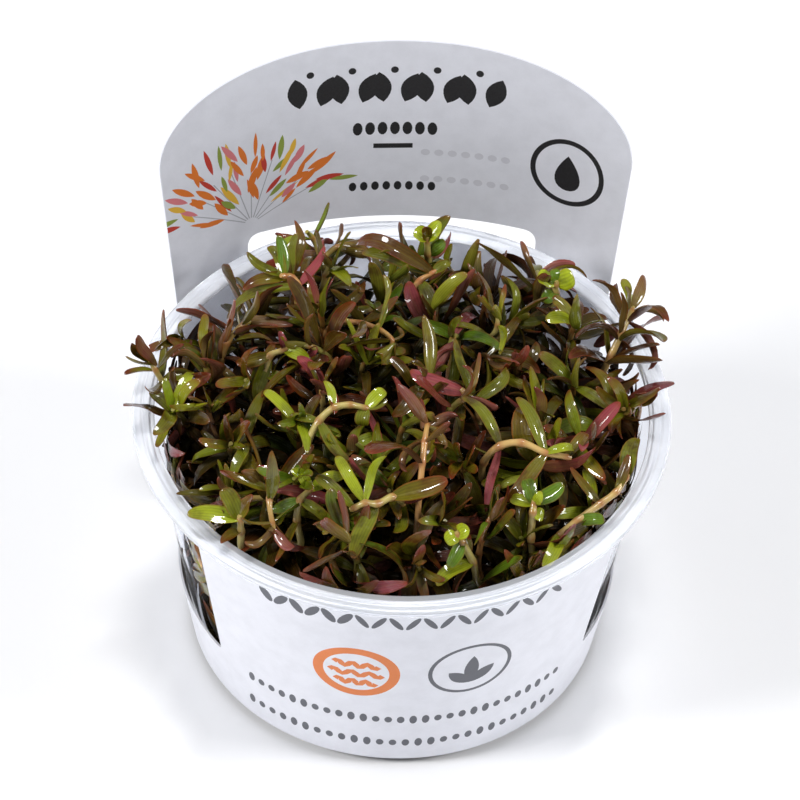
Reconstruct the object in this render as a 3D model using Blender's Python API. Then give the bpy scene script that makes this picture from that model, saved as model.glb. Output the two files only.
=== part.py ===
"""Rotala shoots packed into a clear plastic culture cup that wears a card sleeve.

The cup stands on z = 0 with its axis on z. The tall header of the sleeve is at +Y.
"""

import math
import random

import bpy
from mathutils import Matrix, Vector

MM = 0.001
CLEARANCE = 0.3 * MM  # left between pieces that touch
SMOOTH_DEGREES = 35.0

# Cup, turned about z
CUP_HEIGHT = 57.0 * MM
CUP_SIDES = 48
WALL = 0.8 * MM
BASE_RADIUS = 37.2 * MM  # flat ring that it stands on
BASE_CORNER = 2.2 * MM
FOOT_RADIUS = 39.4 * MM  # wall just over the rounded corner
SHOULDER_RADIUS = 46.3 * MM
SHOULDER_HEIGHT = 51.0 * MM
COLLAR_RADIUS = 47.1 * MM
COLLAR_HEIGHT = 52.6 * MM
FLANGE_RADIUS = 50.5 * MM
FLANGE_THICKNESS = 0.9 * MM
LIP_DROP = 1.6 * MM  # the flange's outer edge, turned down
LIP_THICKNESS = 0.7 * MM

# Card sleeve
SHEET = 0.4 * MM
SLEEVE_LOW = 2.0 * MM
SLEEVE_TOP = 53.6 * MM  # top edge of the front panel, under the flange
SLEEVE_LOW_RADIUS = 39.95 * MM  # middle of the sheet at SLEEVE_LOW
SLEEVE_TOP_RADIUS = 47.75 * MM  # middle of the sheet at SLEEVE_TOP
BAND_TOP = 17.0 * MM  # the side windows end here
FRONT_HALF_ANGLE = math.radians(54.0)
BACK_HALF_ANGLE = math.radians(61.0)  # of the back panel, where it leaves the band
FRONT_COLUMNS = 14
SIDE_COLUMNS = 8
BACK_COLUMNS = 18
FRONT_CORNER = 4.0 * MM
FRONT_CORNER_INSET = math.radians(2.0)

# Header: the back panel carried on above the flange, leaning back and bowed
HEADER_DEPTH = 48.1 * MM  # the sheet's middle, at the height of the cup's rim
HEADER_LEAN = math.radians(6.0)
HEADER_BOW = 76.0 * MM  # radius in plan at the height of the rim
HEADER_BOW_GROWTH = 0.33  # the bow's radius grows this much for each unit of height
HEADER_HALF_WIDTH = 45.2 * MM  # along the sheet, at the height of the rim
HEADER_FLARE = 0.08
HEADER_SHOULDER = 25.0 * MM  # over the rim, where the sides turn into the top curve
HEADER_TOP = 44.5 * MM  # over the rim
HEADER_ROUNDNESS = 2.25  # power of the top's curve: 2 is an ellipse
SLOT_HALF_WIDTH = 28.8 * MM
SLOT_BOTTOM = -2.6 * MM  # from the rim
SLOT_TOP = 3.4 * MM
SLOT_CORNER = 1.8 * MM
LOW_HEADER_ROW = 0.6  # share of the shoulder's height
TOP_CURVE_STEPS = (0.5, 1.0)

# Nutrient gel under the shoots
GEL_BOTTOM = WALL + CLEARANCE
GEL_TOP = 8.0 * MM
GEL_RADIUS = 37.4 * MM
GEL_SIDES = 24

# Tips of the shoots, spread over an oval that leaves a gap at the back of the cup
SEED = 11
SHOOT_COUNT = 41
TIP_MIDDLE_Y = -2.0 * MM
TIP_REACH_X = 43.4 * MM
TIP_REACH_Y = 40.5 * MM
TIP_SCATTER = 1.5 * MM
TIP_HEIGHT = 67.0 * MM  # in the middle of the oval
TIP_FALL = 7.5 * MM  # lower by this at the oval's edge
TIP_SLOPE = 0.09  # rise towards the back
TIP_UNEVEN = (-3.0 * MM, 2.5 * MM)
GOLDEN_ANGLE = math.pi * (3.0 - math.sqrt(5.0))
# Tips that lean out over the rim: place and height
STRAY_TIPS = (
    (-47.0 * MM, 7.0 * MM, 63.0 * MM),
    (44.5 * MM, 17.0 * MM, 66.0 * MM),
    (-17.0 * MM, 34.0 * MM, 70.0 * MM),
)

# Stems
STEM_RADIUS = 0.72 * MM
STEM_FACE_SHARE = 0.7  # distance of a four-sided stem's faces from its middle, by the radius
BASE_SHARE = 0.9  # a base's distance from the axis, by its tip's
STRAY_BASE_SHARE = 0.62
STRAY_LEAF_SHARE = 0.75  # strays have smaller leaves
BASE_SCATTER = 3.0 * MM
BASE_MARGIN = 3.0 * MM  # kept from the gel's edge
SWAY = 9.0 * MM
HIGH_SWAY_SHARE = 0.8
KNEE_SHARE = 0.9  # distance from the axis of a stem's upper bend, by its tip's
LOW_BEND_SHARE = 0.4
LOW_BEND_RISE = 0.42
HIGH_BEND_DROP = (0.08, 0.3)
ARCH_CHANCE = 0.25  # of a stem that arches over its neighbours
ARCH_SWAY = 15.0 * MM
ARCH_RISE = 4.0 * MM
CURVE_STEPS = 48
STEM_TRIES = 60

# Leaves, in pairs that are crosswise to the next pair
FIRST_PAIR_RING = 2  # a stem's base and one ring over it have no leaves
BARE_RING_SHARE = 0.6
PAIRS = 5
PAIR_STEP = 4.6 * MM
PAIR_STEP_RANGE = (0.92, 1.1)
TOP_PAIR_BELOW_TIP = 2.2 * MM
LEAF_LENGTH = (9.5 * MM, 14.0 * MM)
LEAF_HALF_WIDTH = (1.25 * MM, 1.8 * MM)
LEAF_BASE_SHARE = 0.4  # of the half width, where the leaf leaves the stem
LEAF_KEEL = 0.45 * MM
LEAF_TIP_RADIUS = 0.3 * MM
LEAF_TURN = 0.45  # about the stem, either way
LEAF_OPENING = (math.radians(38.0), math.radians(92.0))  # from the stem, at the lowest pair
LEAF_CLOSING = math.radians(22.0)  # less opening at the highest pair
LEAF_BEND = (-0.5, 1.5)
LEAF_SWEEP = 0.35
LEAF_TWIST = 0.9
SMALL_TOP_FROM = 0.6  # leaves over this share of the pairs get smaller
SMALL_TOP_SHARE = 0.3
# Rings of a leaf, as share of the length and share of the half width
TOP_LEAF_RINGS = ((0.32, 1.0), (0.72, 0.8))
LOW_LEAF_RINGS = ((0.45, 1.1),)
TOP_PAIRS = 2  # pairs that have the leaves with more rings
LEAF_TRIES = 26

# Beads that keep the growth apart
BEAD_STEP = 1.4 * MM
BEAD_STEM_SHARE = 1.05  # of the stem's radius
BASE_BEADS = 2  # these may touch what a stem stands in
OWN_STEM_SHARE = 0.35  # a leaf may be close to its own stem up to this share

UP = Vector((0.0, 0.0, 1.0))


def clear_scene():
    """Remove whatever the scene holds."""
    for thing in list(bpy.data.objects):
        bpy.data.objects.remove(thing, do_unlink=True)


def make_material(name, color, roughness, transmission=0.0):
    """A Principled material with one colour."""
    material = bpy.data.materials.new(name)
    material.use_nodes = True
    shader = material.node_tree.nodes["Principled BSDF"]
    shader.inputs["Base Color"].default_value = (*color, 1.0)
    shader.inputs["Roughness"].default_value = roughness
    shader.inputs["Metallic"].default_value = 0.0
    shader.inputs["Transmission Weight"].default_value = transmission
    material.diffuse_color = (*color, 1.0)
    return material


def make_object(name, points, faces, material, smooth_degrees=None):
    """A mesh object from its points and faces."""
    mesh = bpy.data.meshes.new(name)
    mesh.from_pydata([tuple(point) for point in points], [], faces)
    mesh.update()
    mesh.materials.append(material)
    if smooth_degrees is not None:
        mesh.shade_smooth()
        mesh.set_sharp_from_angle(angle=math.radians(smooth_degrees))
    made = bpy.data.objects.new(name, mesh)
    bpy.context.scene.collection.objects.link(made)
    return made


def turned(profile, sides):
    """Points and faces of a closed solid turned about z.

    The profile runs from the axis down the outer side and back to the axis inside,
    and its first and last points lie on the axis.
    """
    points = []
    rings = []
    for radius, height in profile:
        if radius == 0.0:
            rings.append([len(points)] * sides)
            points.append((0.0, 0.0, height))
            continue
        rings.append(list(range(len(points), len(points) + sides)))
        for side in range(sides):
            angle = math.tau * side / sides
            points.append((radius * math.cos(angle), radius * math.sin(angle), height))
    faces = []
    for ring, following in zip(rings, rings[1:]):
        for side in range(sides):
            after = (side + 1) % sides
            corners = [ring[side], ring[after], following[after], following[side]]
            face = list(dict.fromkeys(corners))
            if len(face) > 2:
                faces.append(face)
    return points, faces


def cup_profile():
    """Radius and height along the cup's section, from the base's middle outwards and back."""
    rim = CUP_HEIGHT
    return (
        (0.0, 0.0),
        (BASE_RADIUS, 0.0),
        (FOOT_RADIUS, BASE_CORNER),
        (SHOULDER_RADIUS, SHOULDER_HEIGHT),
        (COLLAR_RADIUS, COLLAR_HEIGHT),
        (COLLAR_RADIUS, rim - FLANGE_THICKNESS),
        (FLANGE_RADIUS - LIP_THICKNESS, rim - FLANGE_THICKNESS),
        (FLANGE_RADIUS - LIP_THICKNESS, rim - LIP_DROP),
        (FLANGE_RADIUS, rim - LIP_DROP),
        (FLANGE_RADIUS, rim),
        (COLLAR_RADIUS - WALL, rim),
        (COLLAR_RADIUS - WALL, COLLAR_HEIGHT),
        (SHOULDER_RADIUS - WALL, SHOULDER_HEIGHT),
        (FOOT_RADIUS - WALL, BASE_CORNER + WALL / 2.0),
        (BASE_RADIUS - WALL / 2.0, WALL),
        (0.0, WALL),
    )


def inner_radius(height):
    """Radius of the cup's inner wall at a height."""
    low = BASE_CORNER
    if height >= SHOULDER_HEIGHT:
        return SHOULDER_RADIUS - WALL
    share = max(0.0, (height - low) / (SHOULDER_HEIGHT - low))
    return FOOT_RADIUS + (SHOULDER_RADIUS - FOOT_RADIUS) * share - WALL


def make_cup(material):
    """The thin walled cup with its shoulder and turned down flange."""
    points, faces = turned(cup_profile(), CUP_SIDES)
    return make_object("cup", points, faces, material, SMOOTH_DEGREES)


def make_gel(material):
    """The slab of set gel in the bottom of the cup."""
    wall_gap = 2.0 * CLEARANCE
    profile = (
        (0.0, GEL_BOTTOM),
        (BASE_RADIUS - WALL - wall_gap, GEL_BOTTOM),
        (GEL_RADIUS, BASE_CORNER + WALL),
        (inner_radius(GEL_TOP) - wall_gap, GEL_TOP),
        (0.0, GEL_TOP),
    )
    points, faces = turned(profile, GEL_SIDES)
    return make_object("nutrient_gel", points, faces, material, SMOOTH_DEGREES)


def cone_point(angle, height):
    """Middle of the sleeve's sheet where it lies on the cup; angle is from +Y towards +X."""
    share = (height - SLEEVE_LOW) / (SLEEVE_TOP - SLEEVE_LOW)
    radius = SLEEVE_LOW_RADIUS + (SLEEVE_TOP_RADIUS - SLEEVE_LOW_RADIUS) * share
    return Vector((radius * math.sin(angle), radius * math.cos(angle), height))


def header_point(along, over_rim):
    """Middle of the header's sheet, by distance along the bow and height over the rim."""
    bow = HEADER_BOW + HEADER_BOW_GROWTH * over_rim
    turn = along / bow
    depth = HEADER_DEPTH + math.tan(HEADER_LEAN) * over_rim - bow * (1.0 - math.cos(turn))
    return Vector((bow * math.sin(turn), depth, CUP_HEIGHT + over_rim))


def header_half_width(over_rim):
    """Half the header's width along the sheet."""
    return HEADER_HALF_WIDTH + HEADER_FLARE * min(over_rim, HEADER_SHOULDER)


def header_top(share):
    """Height of the header's top edge over the rim, by share of the half width."""
    rise = HEADER_TOP - HEADER_SHOULDER
    curve = max(0.0, 1.0 - abs(share) ** HEADER_ROUNDNESS) ** (1.0 / HEADER_ROUNDNESS)
    return HEADER_SHOULDER + rise * curve


def back_point(share, height):
    """Middle of the back panel's sheet: it leaves the cup's cone and turns into the header."""
    over_rim = height - CUP_HEIGHT
    bowed = header_point(share * header_half_width(over_rim), over_rim)
    if height >= SLEEVE_TOP:
        return bowed
    climb = (height - BAND_TOP) / (SLEEVE_TOP - BAND_TOP)
    blend = climb * climb * (3.0 - 2.0 * climb)
    return cone_point(share * BACK_HALF_ANGLE, height).lerp(bowed, blend)


def sleeve_grid():
    """Points and faces of the sheet's middle surface: band, front panel and back panel."""
    points = []
    faces = []

    def row(places):
        first = len(points)
        points.extend(places)
        return list(range(first, len(points)))

    def strip(low, high, skip=()):
        for column in range(len(low) - 1):
            if column not in skip:
                faces.append([low[column], low[column + 1], high[column + 1], high[column]])

    # Columns of the band run round from the back's middle, clockwise from above
    half = BACK_COLUMNS // 2
    back_shares = [math.sin(math.pi / 2.0 * step / half) for step in range(-half, half + 1)]
    back_angles = [share * BACK_HALF_ANGLE for share in back_shares]
    front_start = math.pi - FRONT_HALF_ANGLE
    side_step = (front_start - BACK_HALF_ANGLE) / SIDE_COLUMNS
    front_step = 2.0 * FRONT_HALF_ANGLE / FRONT_COLUMNS
    angles = list(back_angles)
    angles += [BACK_HALF_ANGLE + side_step * step for step in range(1, SIDE_COLUMNS + 1)]
    angles += [front_start + front_step * step for step in range(1, FRONT_COLUMNS + 1)]
    far_side = front_start + 2.0 * FRONT_HALF_ANGLE
    angles += [far_side + side_step * step for step in range(1, SIDE_COLUMNS)]
    band_low = row([cone_point(angle, SLEEVE_LOW) for angle in angles])
    band_high = row([cone_point(angle, BAND_TOP) for angle in angles])
    strip(band_low + band_low[:1], band_high + band_high[:1])

    # Front panel, its top corners rounded off
    first = len(back_angles) - 1 + SIDE_COLUMNS
    front_angles = angles[first:first + FRONT_COLUMNS + 1]
    below = band_high[first:first + FRONT_COLUMNS + 1]
    middle_height = (BAND_TOP + SLEEVE_TOP) / 2.0
    for height in (middle_height, SLEEVE_TOP - FRONT_CORNER, SLEEVE_TOP):
        places = [cone_point(angle, height) for angle in front_angles]
        if height == SLEEVE_TOP:
            corner_height = SLEEVE_TOP - FRONT_CORNER / 2.0
            places[0] = cone_point(front_angles[0] + FRONT_CORNER_INSET, corner_height)
            places[-1] = cone_point(front_angles[-1] - FRONT_CORNER_INSET, corner_height)
        above = row(places)
        strip(below, above)
        below = above

    # Back panel up to the header's shoulder, with the slot left open
    slot_columns = [column for column in range(BACK_COLUMNS)
                    if abs(back_shares[column] + back_shares[column + 1]) / 2.0
                    * HEADER_HALF_WIDTH < SLOT_HALF_WIDTH]
    slot_first = slot_columns[0]
    slot_last = slot_columns[-1] + 1
    slot_share = SLOT_HALF_WIDTH / HEADER_HALF_WIDTH
    shares = list(back_shares)
    shares[slot_first] = -slot_share
    shares[slot_last] = slot_share
    below = band_high[:BACK_COLUMNS + 1]
    slot_low = CUP_HEIGHT + SLOT_BOTTOM
    slot_high = CUP_HEIGHT + SLOT_TOP
    slot_middle = (slot_low + slot_high) / 2.0
    corner = SLOT_CORNER / HEADER_HALF_WIDTH
    heights = (
        (BAND_TOP + SLEEVE_TOP) / 2.0,
        slot_low,
        slot_middle,
        slot_high,
        CUP_HEIGHT + LOW_HEADER_ROW * HEADER_SHOULDER,
        CUP_HEIGHT + HEADER_SHOULDER,
    )
    for height in heights:
        row_shares = list(shares)
        if height in (slot_low, slot_high):
            row_shares[slot_first] += corner
            row_shares[slot_last] -= corner
        if height == slot_middle:
            above = row([back_point(share, height) for share in row_shares[:slot_first + 1]])
            above += [None] * (slot_last - slot_first - 1)
            above += row([back_point(share, height) for share in row_shares[slot_last:]])
        else:
            above = row([back_point(share, height) for share in row_shares])
        skip = slot_columns if slot_low < height <= slot_high else ()
        strip(below, above, skip)
        below = above

    # The curved top, in two steps that close to a point at either side
    for step in TOP_CURVE_STEPS:
        above = [below[0]]
        inner = shares[1:-1]
        tops = [CUP_HEIGHT + HEADER_SHOULDER + step * (header_top(share) - HEADER_SHOULDER)
                for share in inner]
        above += row([back_point(share, top) for share, top in zip(inner, tops)])
        above += [below[-1]]
        for column in range(BACK_COLUMNS):
            corners = [below[column], below[column + 1], above[column + 1], above[column]]
            faces.append(list(dict.fromkeys(corners)))
        below = above
    return points, faces


def make_sleeve(material):
    """The card sleeve, one sheet from the low band to the top of the header."""
    points, faces = sleeve_grid()
    sleeve = make_object("label_sleeve", points, faces, material)
    solid = sleeve.modifiers.new("thickness", "SOLIDIFY")
    solid.thickness = SHEET
    solid.offset = 0.0
    return sleeve


class Beads:
    """Round beads strung along everything that has grown, to keep new growth clear of it."""

    def __init__(self):
        self.grown = []

    def free(self, beads, owner=None):
        """Whether new beads clear the grown ones, apart from the stem that owns them."""
        for place, radius, share in beads:
            for other, other_radius, other_owner in self.grown:
                if other_owner == owner and share < OWN_STEM_SHARE:
                    continue
                reach = radius + other_radius + CLEARANCE
                gap = place - other
                if gap.length_squared < reach * reach:
                    return False
        return True

    def add(self, beads, owner=None):
        """Count beads as grown; owner marks a stem's own beads."""
        for place, radius, _ in beads:
            self.grown.append((place, radius, owner))


def string_beads(places, radii):
    """Beads at even steps along a chain of straight pieces: place, radius, share of length."""
    lengths = [(after - before).length for before, after in zip(places, places[1:])]
    total = sum(lengths)
    beads = []
    passed = 0.0
    for piece, length in enumerate(lengths):
        count = max(1, math.ceil(length / BEAD_STEP))
        for step in range(1, count + 1):
            part = step / count
            place = places[piece].lerp(places[piece + 1], part)
            radius = radii[piece] + (radii[piece + 1] - radii[piece]) * part
            beads.append((place, radius, (passed + part * length) / total))
        passed += length
    return beads


def inside_room(beads):
    """Whether beads stay in the cup, over its flange and in front of the header."""
    for place, radius, _ in beads:
        reach = math.hypot(place.x, place.y)
        if place.z < GEL_TOP + CLEARANCE + radius:
            return False
        if place.z < CUP_HEIGHT + radius + CLEARANCE:
            wall = inner_radius(place.z)
            if reach > wall - radius - CLEARANCE:
                return False
        over_rim = place.z - CUP_HEIGHT
        if over_rim > 0.0 and place.y > 0.0:
            bow = HEADER_BOW + HEADER_BOW_GROWTH * over_rim
            middle = HEADER_DEPTH + math.tan(HEADER_LEAN) * over_rim - bow
            if math.hypot(place.x, place.y - middle) > bow - SHEET - radius - CLEARANCE:
                return False
    return True


def curve_point(controls, share):
    """Point and direction of a cubic curve through four control points."""
    rest = 1.0 - share
    one, two, three, four = controls
    place = rest**3 * one + 3.0 * rest**2 * share * two + 3.0 * rest * share**2 * three
    place = place + share**3 * four
    along = rest**2 * (two - one) + 2.0 * rest * share * (three - two) + share**2 * (four - three)
    return place, along.normalized()


def level_offset(rng, reach):
    """A random step to the side, up to a reach along x and along y."""
    return Vector((rng.uniform(-reach, reach), rng.uniform(-reach, reach), 0.0))


def stem_controls(rng, tip, base_share):
    """Control points of a stem that rises from the gel and wanders to its tip."""
    base = Vector((tip.x * base_share, tip.y * base_share, 0.0))
    base += level_offset(rng, BASE_SCATTER)
    limit = inner_radius(GEL_TOP) - BASE_MARGIN
    if base.length > limit:
        base *= limit / base.length
    base.z = GEL_TOP + CLEARANCE
    rise = tip.z - base.z
    knee = Vector((tip.x * KNEE_SHARE, tip.y * KNEE_SHARE, base.z))
    low = base.lerp(knee, LOW_BEND_SHARE) + level_offset(rng, SWAY) + UP * rise * LOW_BEND_RISE
    if rng.random() < ARCH_CHANCE:
        high = knee + level_offset(rng, ARCH_SWAY)
        high.z = tip.z + ARCH_RISE
    else:
        high = knee + level_offset(rng, SWAY * HIGH_SWAY_SHARE)
        high.z = tip.z - rise * rng.uniform(*HIGH_BEND_DROP)
    return base, low, high, tip


def stem_plan(rng, tip, base_share):
    """A stem's places and frames: base, one between, the leaf pairs, and the tip."""
    controls = stem_controls(rng, tip, base_share)
    samples = [curve_point(controls, step / CURVE_STEPS) for step in range(CURVE_STEPS + 1)]
    lengths = [0.0]
    for before, after in zip(samples, samples[1:]):
        lengths.append(lengths[-1] + (after[0] - before[0]).length)
    top_pair = lengths[-1] - TOP_PAIR_BELOW_TIP
    wanted = [top_pair - PAIR_STEP * pair * rng.uniform(*PAIR_STEP_RANGE)
              for pair in range(PAIRS)]
    side = Matrix.Rotation(rng.uniform(0.0, math.tau), 3, "Z") @ Vector((1.0, 0.0, 0.0))
    frames = []
    for place, along in samples:
        side = (side - along * side.dot(along)).normalized()
        frames.append((place, along, side.copy()))

    def frame_at(length):
        nearest = min(range(CURVE_STEPS + 1), key=lambda step: abs(lengths[step] - length))
        return frames[nearest]

    pairs = [frame_at(length) for length in reversed(wanted)]
    bare = (top_pair - PAIR_STEP * PAIRS) * BARE_RING_SHARE
    return {"rings": [frames[0], frame_at(bare)] + pairs, "tip": frames[-1][0]}


def stem_beads(stem):
    """Beads along a stem."""
    places = [ring[0] for ring in stem["rings"]] + [stem["tip"]]
    return string_beads(places, [STEM_RADIUS * BEAD_STEM_SHARE] * len(places))


def leaf_plan(rng, ring, face, pair, leaf_share):
    """A leaf's shape: where it starts, how it points, bends and twists."""
    place, along, side = ring
    rank = pair / (PAIRS - 1.0)
    outward = Matrix.Rotation(face * math.pi / 2.0, 3, along) @ side
    outward = Matrix.Rotation(rng.uniform(-LEAF_TURN, LEAF_TURN), 3, along) @ outward
    opening = rng.uniform(*LEAF_OPENING) - LEAF_CLOSING * rank
    direction = outward * math.sin(opening) + along * math.cos(opening)
    normal = along * math.sin(opening) - outward * math.cos(opening)
    size = rng.uniform(0.0, 1.0)
    length = LEAF_LENGTH[0] + (LEAF_LENGTH[1] - LEAF_LENGTH[0]) * size
    half_width = LEAF_HALF_WIDTH[0] + (LEAF_HALF_WIDTH[1] - LEAF_HALF_WIDTH[0]) * size
    shrink = 1.0 - SMALL_TOP_SHARE * max(0.0, rank - SMALL_TOP_FROM) / (1.0 - SMALL_TOP_FROM)
    shrink *= leaf_share
    return {
        "start": place + outward * STEM_RADIUS * STEM_FACE_SHARE,
        "direction": direction,
        "normal": normal,
        "length": length * shrink,
        "half_width": half_width * shrink,
        "rings": TOP_LEAF_RINGS if pair >= PAIRS - TOP_PAIRS else LOW_LEAF_RINGS,
        "bend": rng.uniform(*LEAF_BEND),
        "sweep": rng.uniform(-LEAF_SWEEP, LEAF_SWEEP),
        "twist": rng.uniform(-LEAF_TWIST, LEAF_TWIST),
    }


def leaf_frame(leaf, share):
    """Point, side direction and normal of a leaf at a share of its length."""
    bend = leaf["bend"] if abs(leaf["bend"]) > 0.01 else 0.01
    turn = bend * share
    across = leaf["normal"].cross(leaf["direction"])
    travel = leaf["direction"] * (math.sin(turn) / bend)
    travel = travel - leaf["normal"] * ((1.0 - math.cos(turn)) / bend)
    travel = travel + across * (leaf["sweep"] * share * share / 2.0)
    normal = leaf["normal"] * math.cos(turn) + leaf["direction"] * math.sin(turn)
    twist = leaf["twist"] * share
    side = across * math.cos(twist) + normal * math.sin(twist)
    facing = normal * math.cos(twist) - across * math.sin(twist)
    return leaf["start"] + travel * leaf["length"], side, facing


def leaf_beads(leaf):
    """Beads along a leaf's spine, as wide as the leaf."""
    places = [leaf["start"]]
    radii = [leaf["half_width"] * LEAF_BASE_SHARE]
    for share, width in leaf["rings"]:
        places.append(leaf_frame(leaf, share)[0])
        radii.append(leaf["half_width"] * width)
    places.append(leaf_frame(leaf, 1.0)[0])
    radii.append(LEAF_TIP_RADIUS)
    return string_beads(places, radii)


def tip_places():
    """Tips spread like seeds in a sunflower, then the strays.

    Each has its place, its base's share of the way out, and its leaves' share of the size.
    """
    rng = random.Random(SEED)
    tips = []
    for number in range(SHOOT_COUNT):
        share = math.sqrt((number + 0.5) / SHOOT_COUNT)
        angle = number * GOLDEN_ANGLE
        tip = level_offset(rng, TIP_SCATTER)
        tip.x += TIP_REACH_X * share * math.cos(angle)
        tip.y += TIP_REACH_Y * share * math.sin(angle) + TIP_MIDDLE_Y
        limit = COLLAR_RADIUS - 2.0 * (WALL + STEM_RADIUS)
        if tip.length > limit:
            tip *= limit / tip.length
        tip.z = TIP_HEIGHT - TIP_FALL * share**3 + TIP_SLOPE * tip.y + rng.uniform(*TIP_UNEVEN)
        tips.append((tip, BASE_SHARE, 1.0))
    for place in STRAY_TIPS:
        tips.append((Vector(place), STRAY_BASE_SHARE, STRAY_LEAF_SHARE))
    return tips


def grow_shoots():
    """Plan every shoot: first all stems, then the leaves from the highest pair down."""
    rng = random.Random(SEED + 1)
    grown = Beads()
    stems = []
    for tip, base_share, leaf_share in tip_places():
        for _ in range(STEM_TRIES):
            stem = stem_plan(rng, tip, base_share)
            beads = stem_beads(stem)
            if inside_room(beads[BASE_BEADS:]) and grown.free(beads):
                grown.add(beads, len(stems))
                stem["leaf_share"] = leaf_share
                stem["leaves"] = {}
                stems.append(stem)
                break
    for pair in reversed(range(PAIRS)):
        for number, stem in enumerate(stems):
            ring = stem["rings"][FIRST_PAIR_RING + pair]
            for face in (pair % 2, pair % 2 + 2):
                for _ in range(LEAF_TRIES):
                    leaf = leaf_plan(rng, ring, face, pair, stem["leaf_share"])
                    beads = leaf_beads(leaf)
                    if inside_room(beads) and grown.free(beads, number):
                        grown.add(beads)
                        stem["leaves"][(pair, face)] = leaf
                        break
    return stems


def bulging_pair(points, corners):
    """Two triangles for a warped four-sided face, split so that the solid bulges there."""
    one, two, three, four = corners
    normal = (points[two] - points[one]).cross(points[three] - points[one])
    if normal.dot(points[four] - points[one]) <= 0.0:
        return [(one, two, three), (one, three, four)]
    return [(one, two, four), (two, three, four)]


def shoot_mesh(stem):
    """Points and faces of one shoot: a four-sided stem whose sides run out into leaves."""
    points = []
    faces = []
    rings = []
    for place, along, side in stem["rings"]:
        rings.append(list(range(len(points), len(points) + 4)))
        for corner in range(4):
            turn = Matrix.Rotation(math.radians(90.0 * corner - 45.0), 3, along)
            points.append(place + turn @ side * STEM_RADIUS)
    tip = len(points)
    points.append(stem["tip"])
    faces.append(rings[0][::-1])

    def grow_leaf(leaf, base):
        ring = base
        for share, width in leaf["rings"]:
            place, side, facing = leaf_frame(leaf, share)
            reach = side * leaf["half_width"] * width
            following = list(range(len(points), len(points) + 3))
            points.extend((place - facing * LEAF_KEEL, place + reach, place - reach))
            for edge in range(3):
                after = (edge + 1) % 3
                corners = (ring[edge], ring[after], following[after], following[edge])
                faces.extend(bulging_pair(points, corners))
            ring = following
        end = len(points)
        points.append(leaf_frame(leaf, 1.0)[0])
        for edge in range(3):
            faces.append((ring[edge], ring[(edge + 1) % 3], end))

    for level in range(1, len(rings)):
        low, high = rings[level - 1], rings[level]
        for face in range(4):
            after = (face + 1) % 4
            leaf = stem["leaves"].get((level - FIRST_PAIR_RING, face))
            if leaf is None:
                corners = (low[face], low[after], high[after], high[face])
                faces.extend(bulging_pair(points, corners))
                continue
            upper = (points[high[face]] + points[high[after]]) / 2.0
            lower = (points[low[face]] + points[low[after]]) / 2.0
            keel = len(points)
            points.append(upper + (lower - upper).normalized() * STEM_RADIUS)
            faces.append((low[face], low[after], keel))
            faces.append((low[after], high[after], keel))
            faces.append((high[face], low[face], keel))
            grow_leaf(leaf, [keel, high[after], high[face]])
    for face in range(4):
        faces.append((rings[-1][face], rings[-1][(face + 1) % 4], tip))
    return points, faces


def main():
    """Build every piece."""
    clear_scene()
    clear_plastic = make_material("clear_plastic", (0.82, 0.85, 0.88), 0.2, 0.9)
    card = make_material("white_card", (0.86, 0.87, 0.92), 0.5)
    gel = make_material("gel", (0.75, 0.68, 0.5), 0.25, 0.7)
    leaf_colors = ((0.10, 0.16, 0.03), (0.17, 0.20, 0.04), (0.22, 0.12, 0.04))
    leaf_materials = [make_material("leaf_%d" % (number + 1), color, 0.35)
                      for number, color in enumerate(leaf_colors)]
    make_cup(clear_plastic)
    make_sleeve(card)
    make_gel(gel)
    for number, stem in enumerate(grow_shoots()):
        points, faces = shoot_mesh(stem)
        name = "shoot_%02d" % (number + 1)
        make_object(name, points, faces, leaf_materials[number % len(leaf_materials)])


main()
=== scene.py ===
"""Looks of the rotala culture cup: clear plastic, printed card, gel and wet leafy shoots."""

import math
import random

import bmesh
import bpy
import numpy as np
from mathutils import Matrix, Vector
from mathutils.geometry import delaunay_2d_cdt
from mathutils.kdtree import KDTree


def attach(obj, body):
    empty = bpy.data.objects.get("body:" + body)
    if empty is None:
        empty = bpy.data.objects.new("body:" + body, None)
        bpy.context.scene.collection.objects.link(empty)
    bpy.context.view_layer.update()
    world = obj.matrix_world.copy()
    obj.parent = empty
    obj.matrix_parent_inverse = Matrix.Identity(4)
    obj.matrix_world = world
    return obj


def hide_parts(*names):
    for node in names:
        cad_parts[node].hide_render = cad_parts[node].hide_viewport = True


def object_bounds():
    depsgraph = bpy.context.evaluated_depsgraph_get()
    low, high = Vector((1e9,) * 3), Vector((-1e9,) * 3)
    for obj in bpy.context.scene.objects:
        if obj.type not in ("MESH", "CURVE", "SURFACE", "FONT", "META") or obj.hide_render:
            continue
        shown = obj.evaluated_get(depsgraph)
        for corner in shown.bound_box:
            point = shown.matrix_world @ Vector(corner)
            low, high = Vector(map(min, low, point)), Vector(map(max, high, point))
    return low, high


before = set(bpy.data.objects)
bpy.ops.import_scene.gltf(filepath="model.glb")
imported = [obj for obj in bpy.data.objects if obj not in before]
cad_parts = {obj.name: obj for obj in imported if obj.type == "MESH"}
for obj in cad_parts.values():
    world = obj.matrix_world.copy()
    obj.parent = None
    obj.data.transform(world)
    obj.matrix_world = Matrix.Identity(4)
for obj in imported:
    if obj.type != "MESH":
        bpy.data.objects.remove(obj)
cad_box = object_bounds()

MM = 0.001
UP = Vector((0.0, 0.0, 1.0))
CLEARANCE = 0.3 * MM

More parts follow.
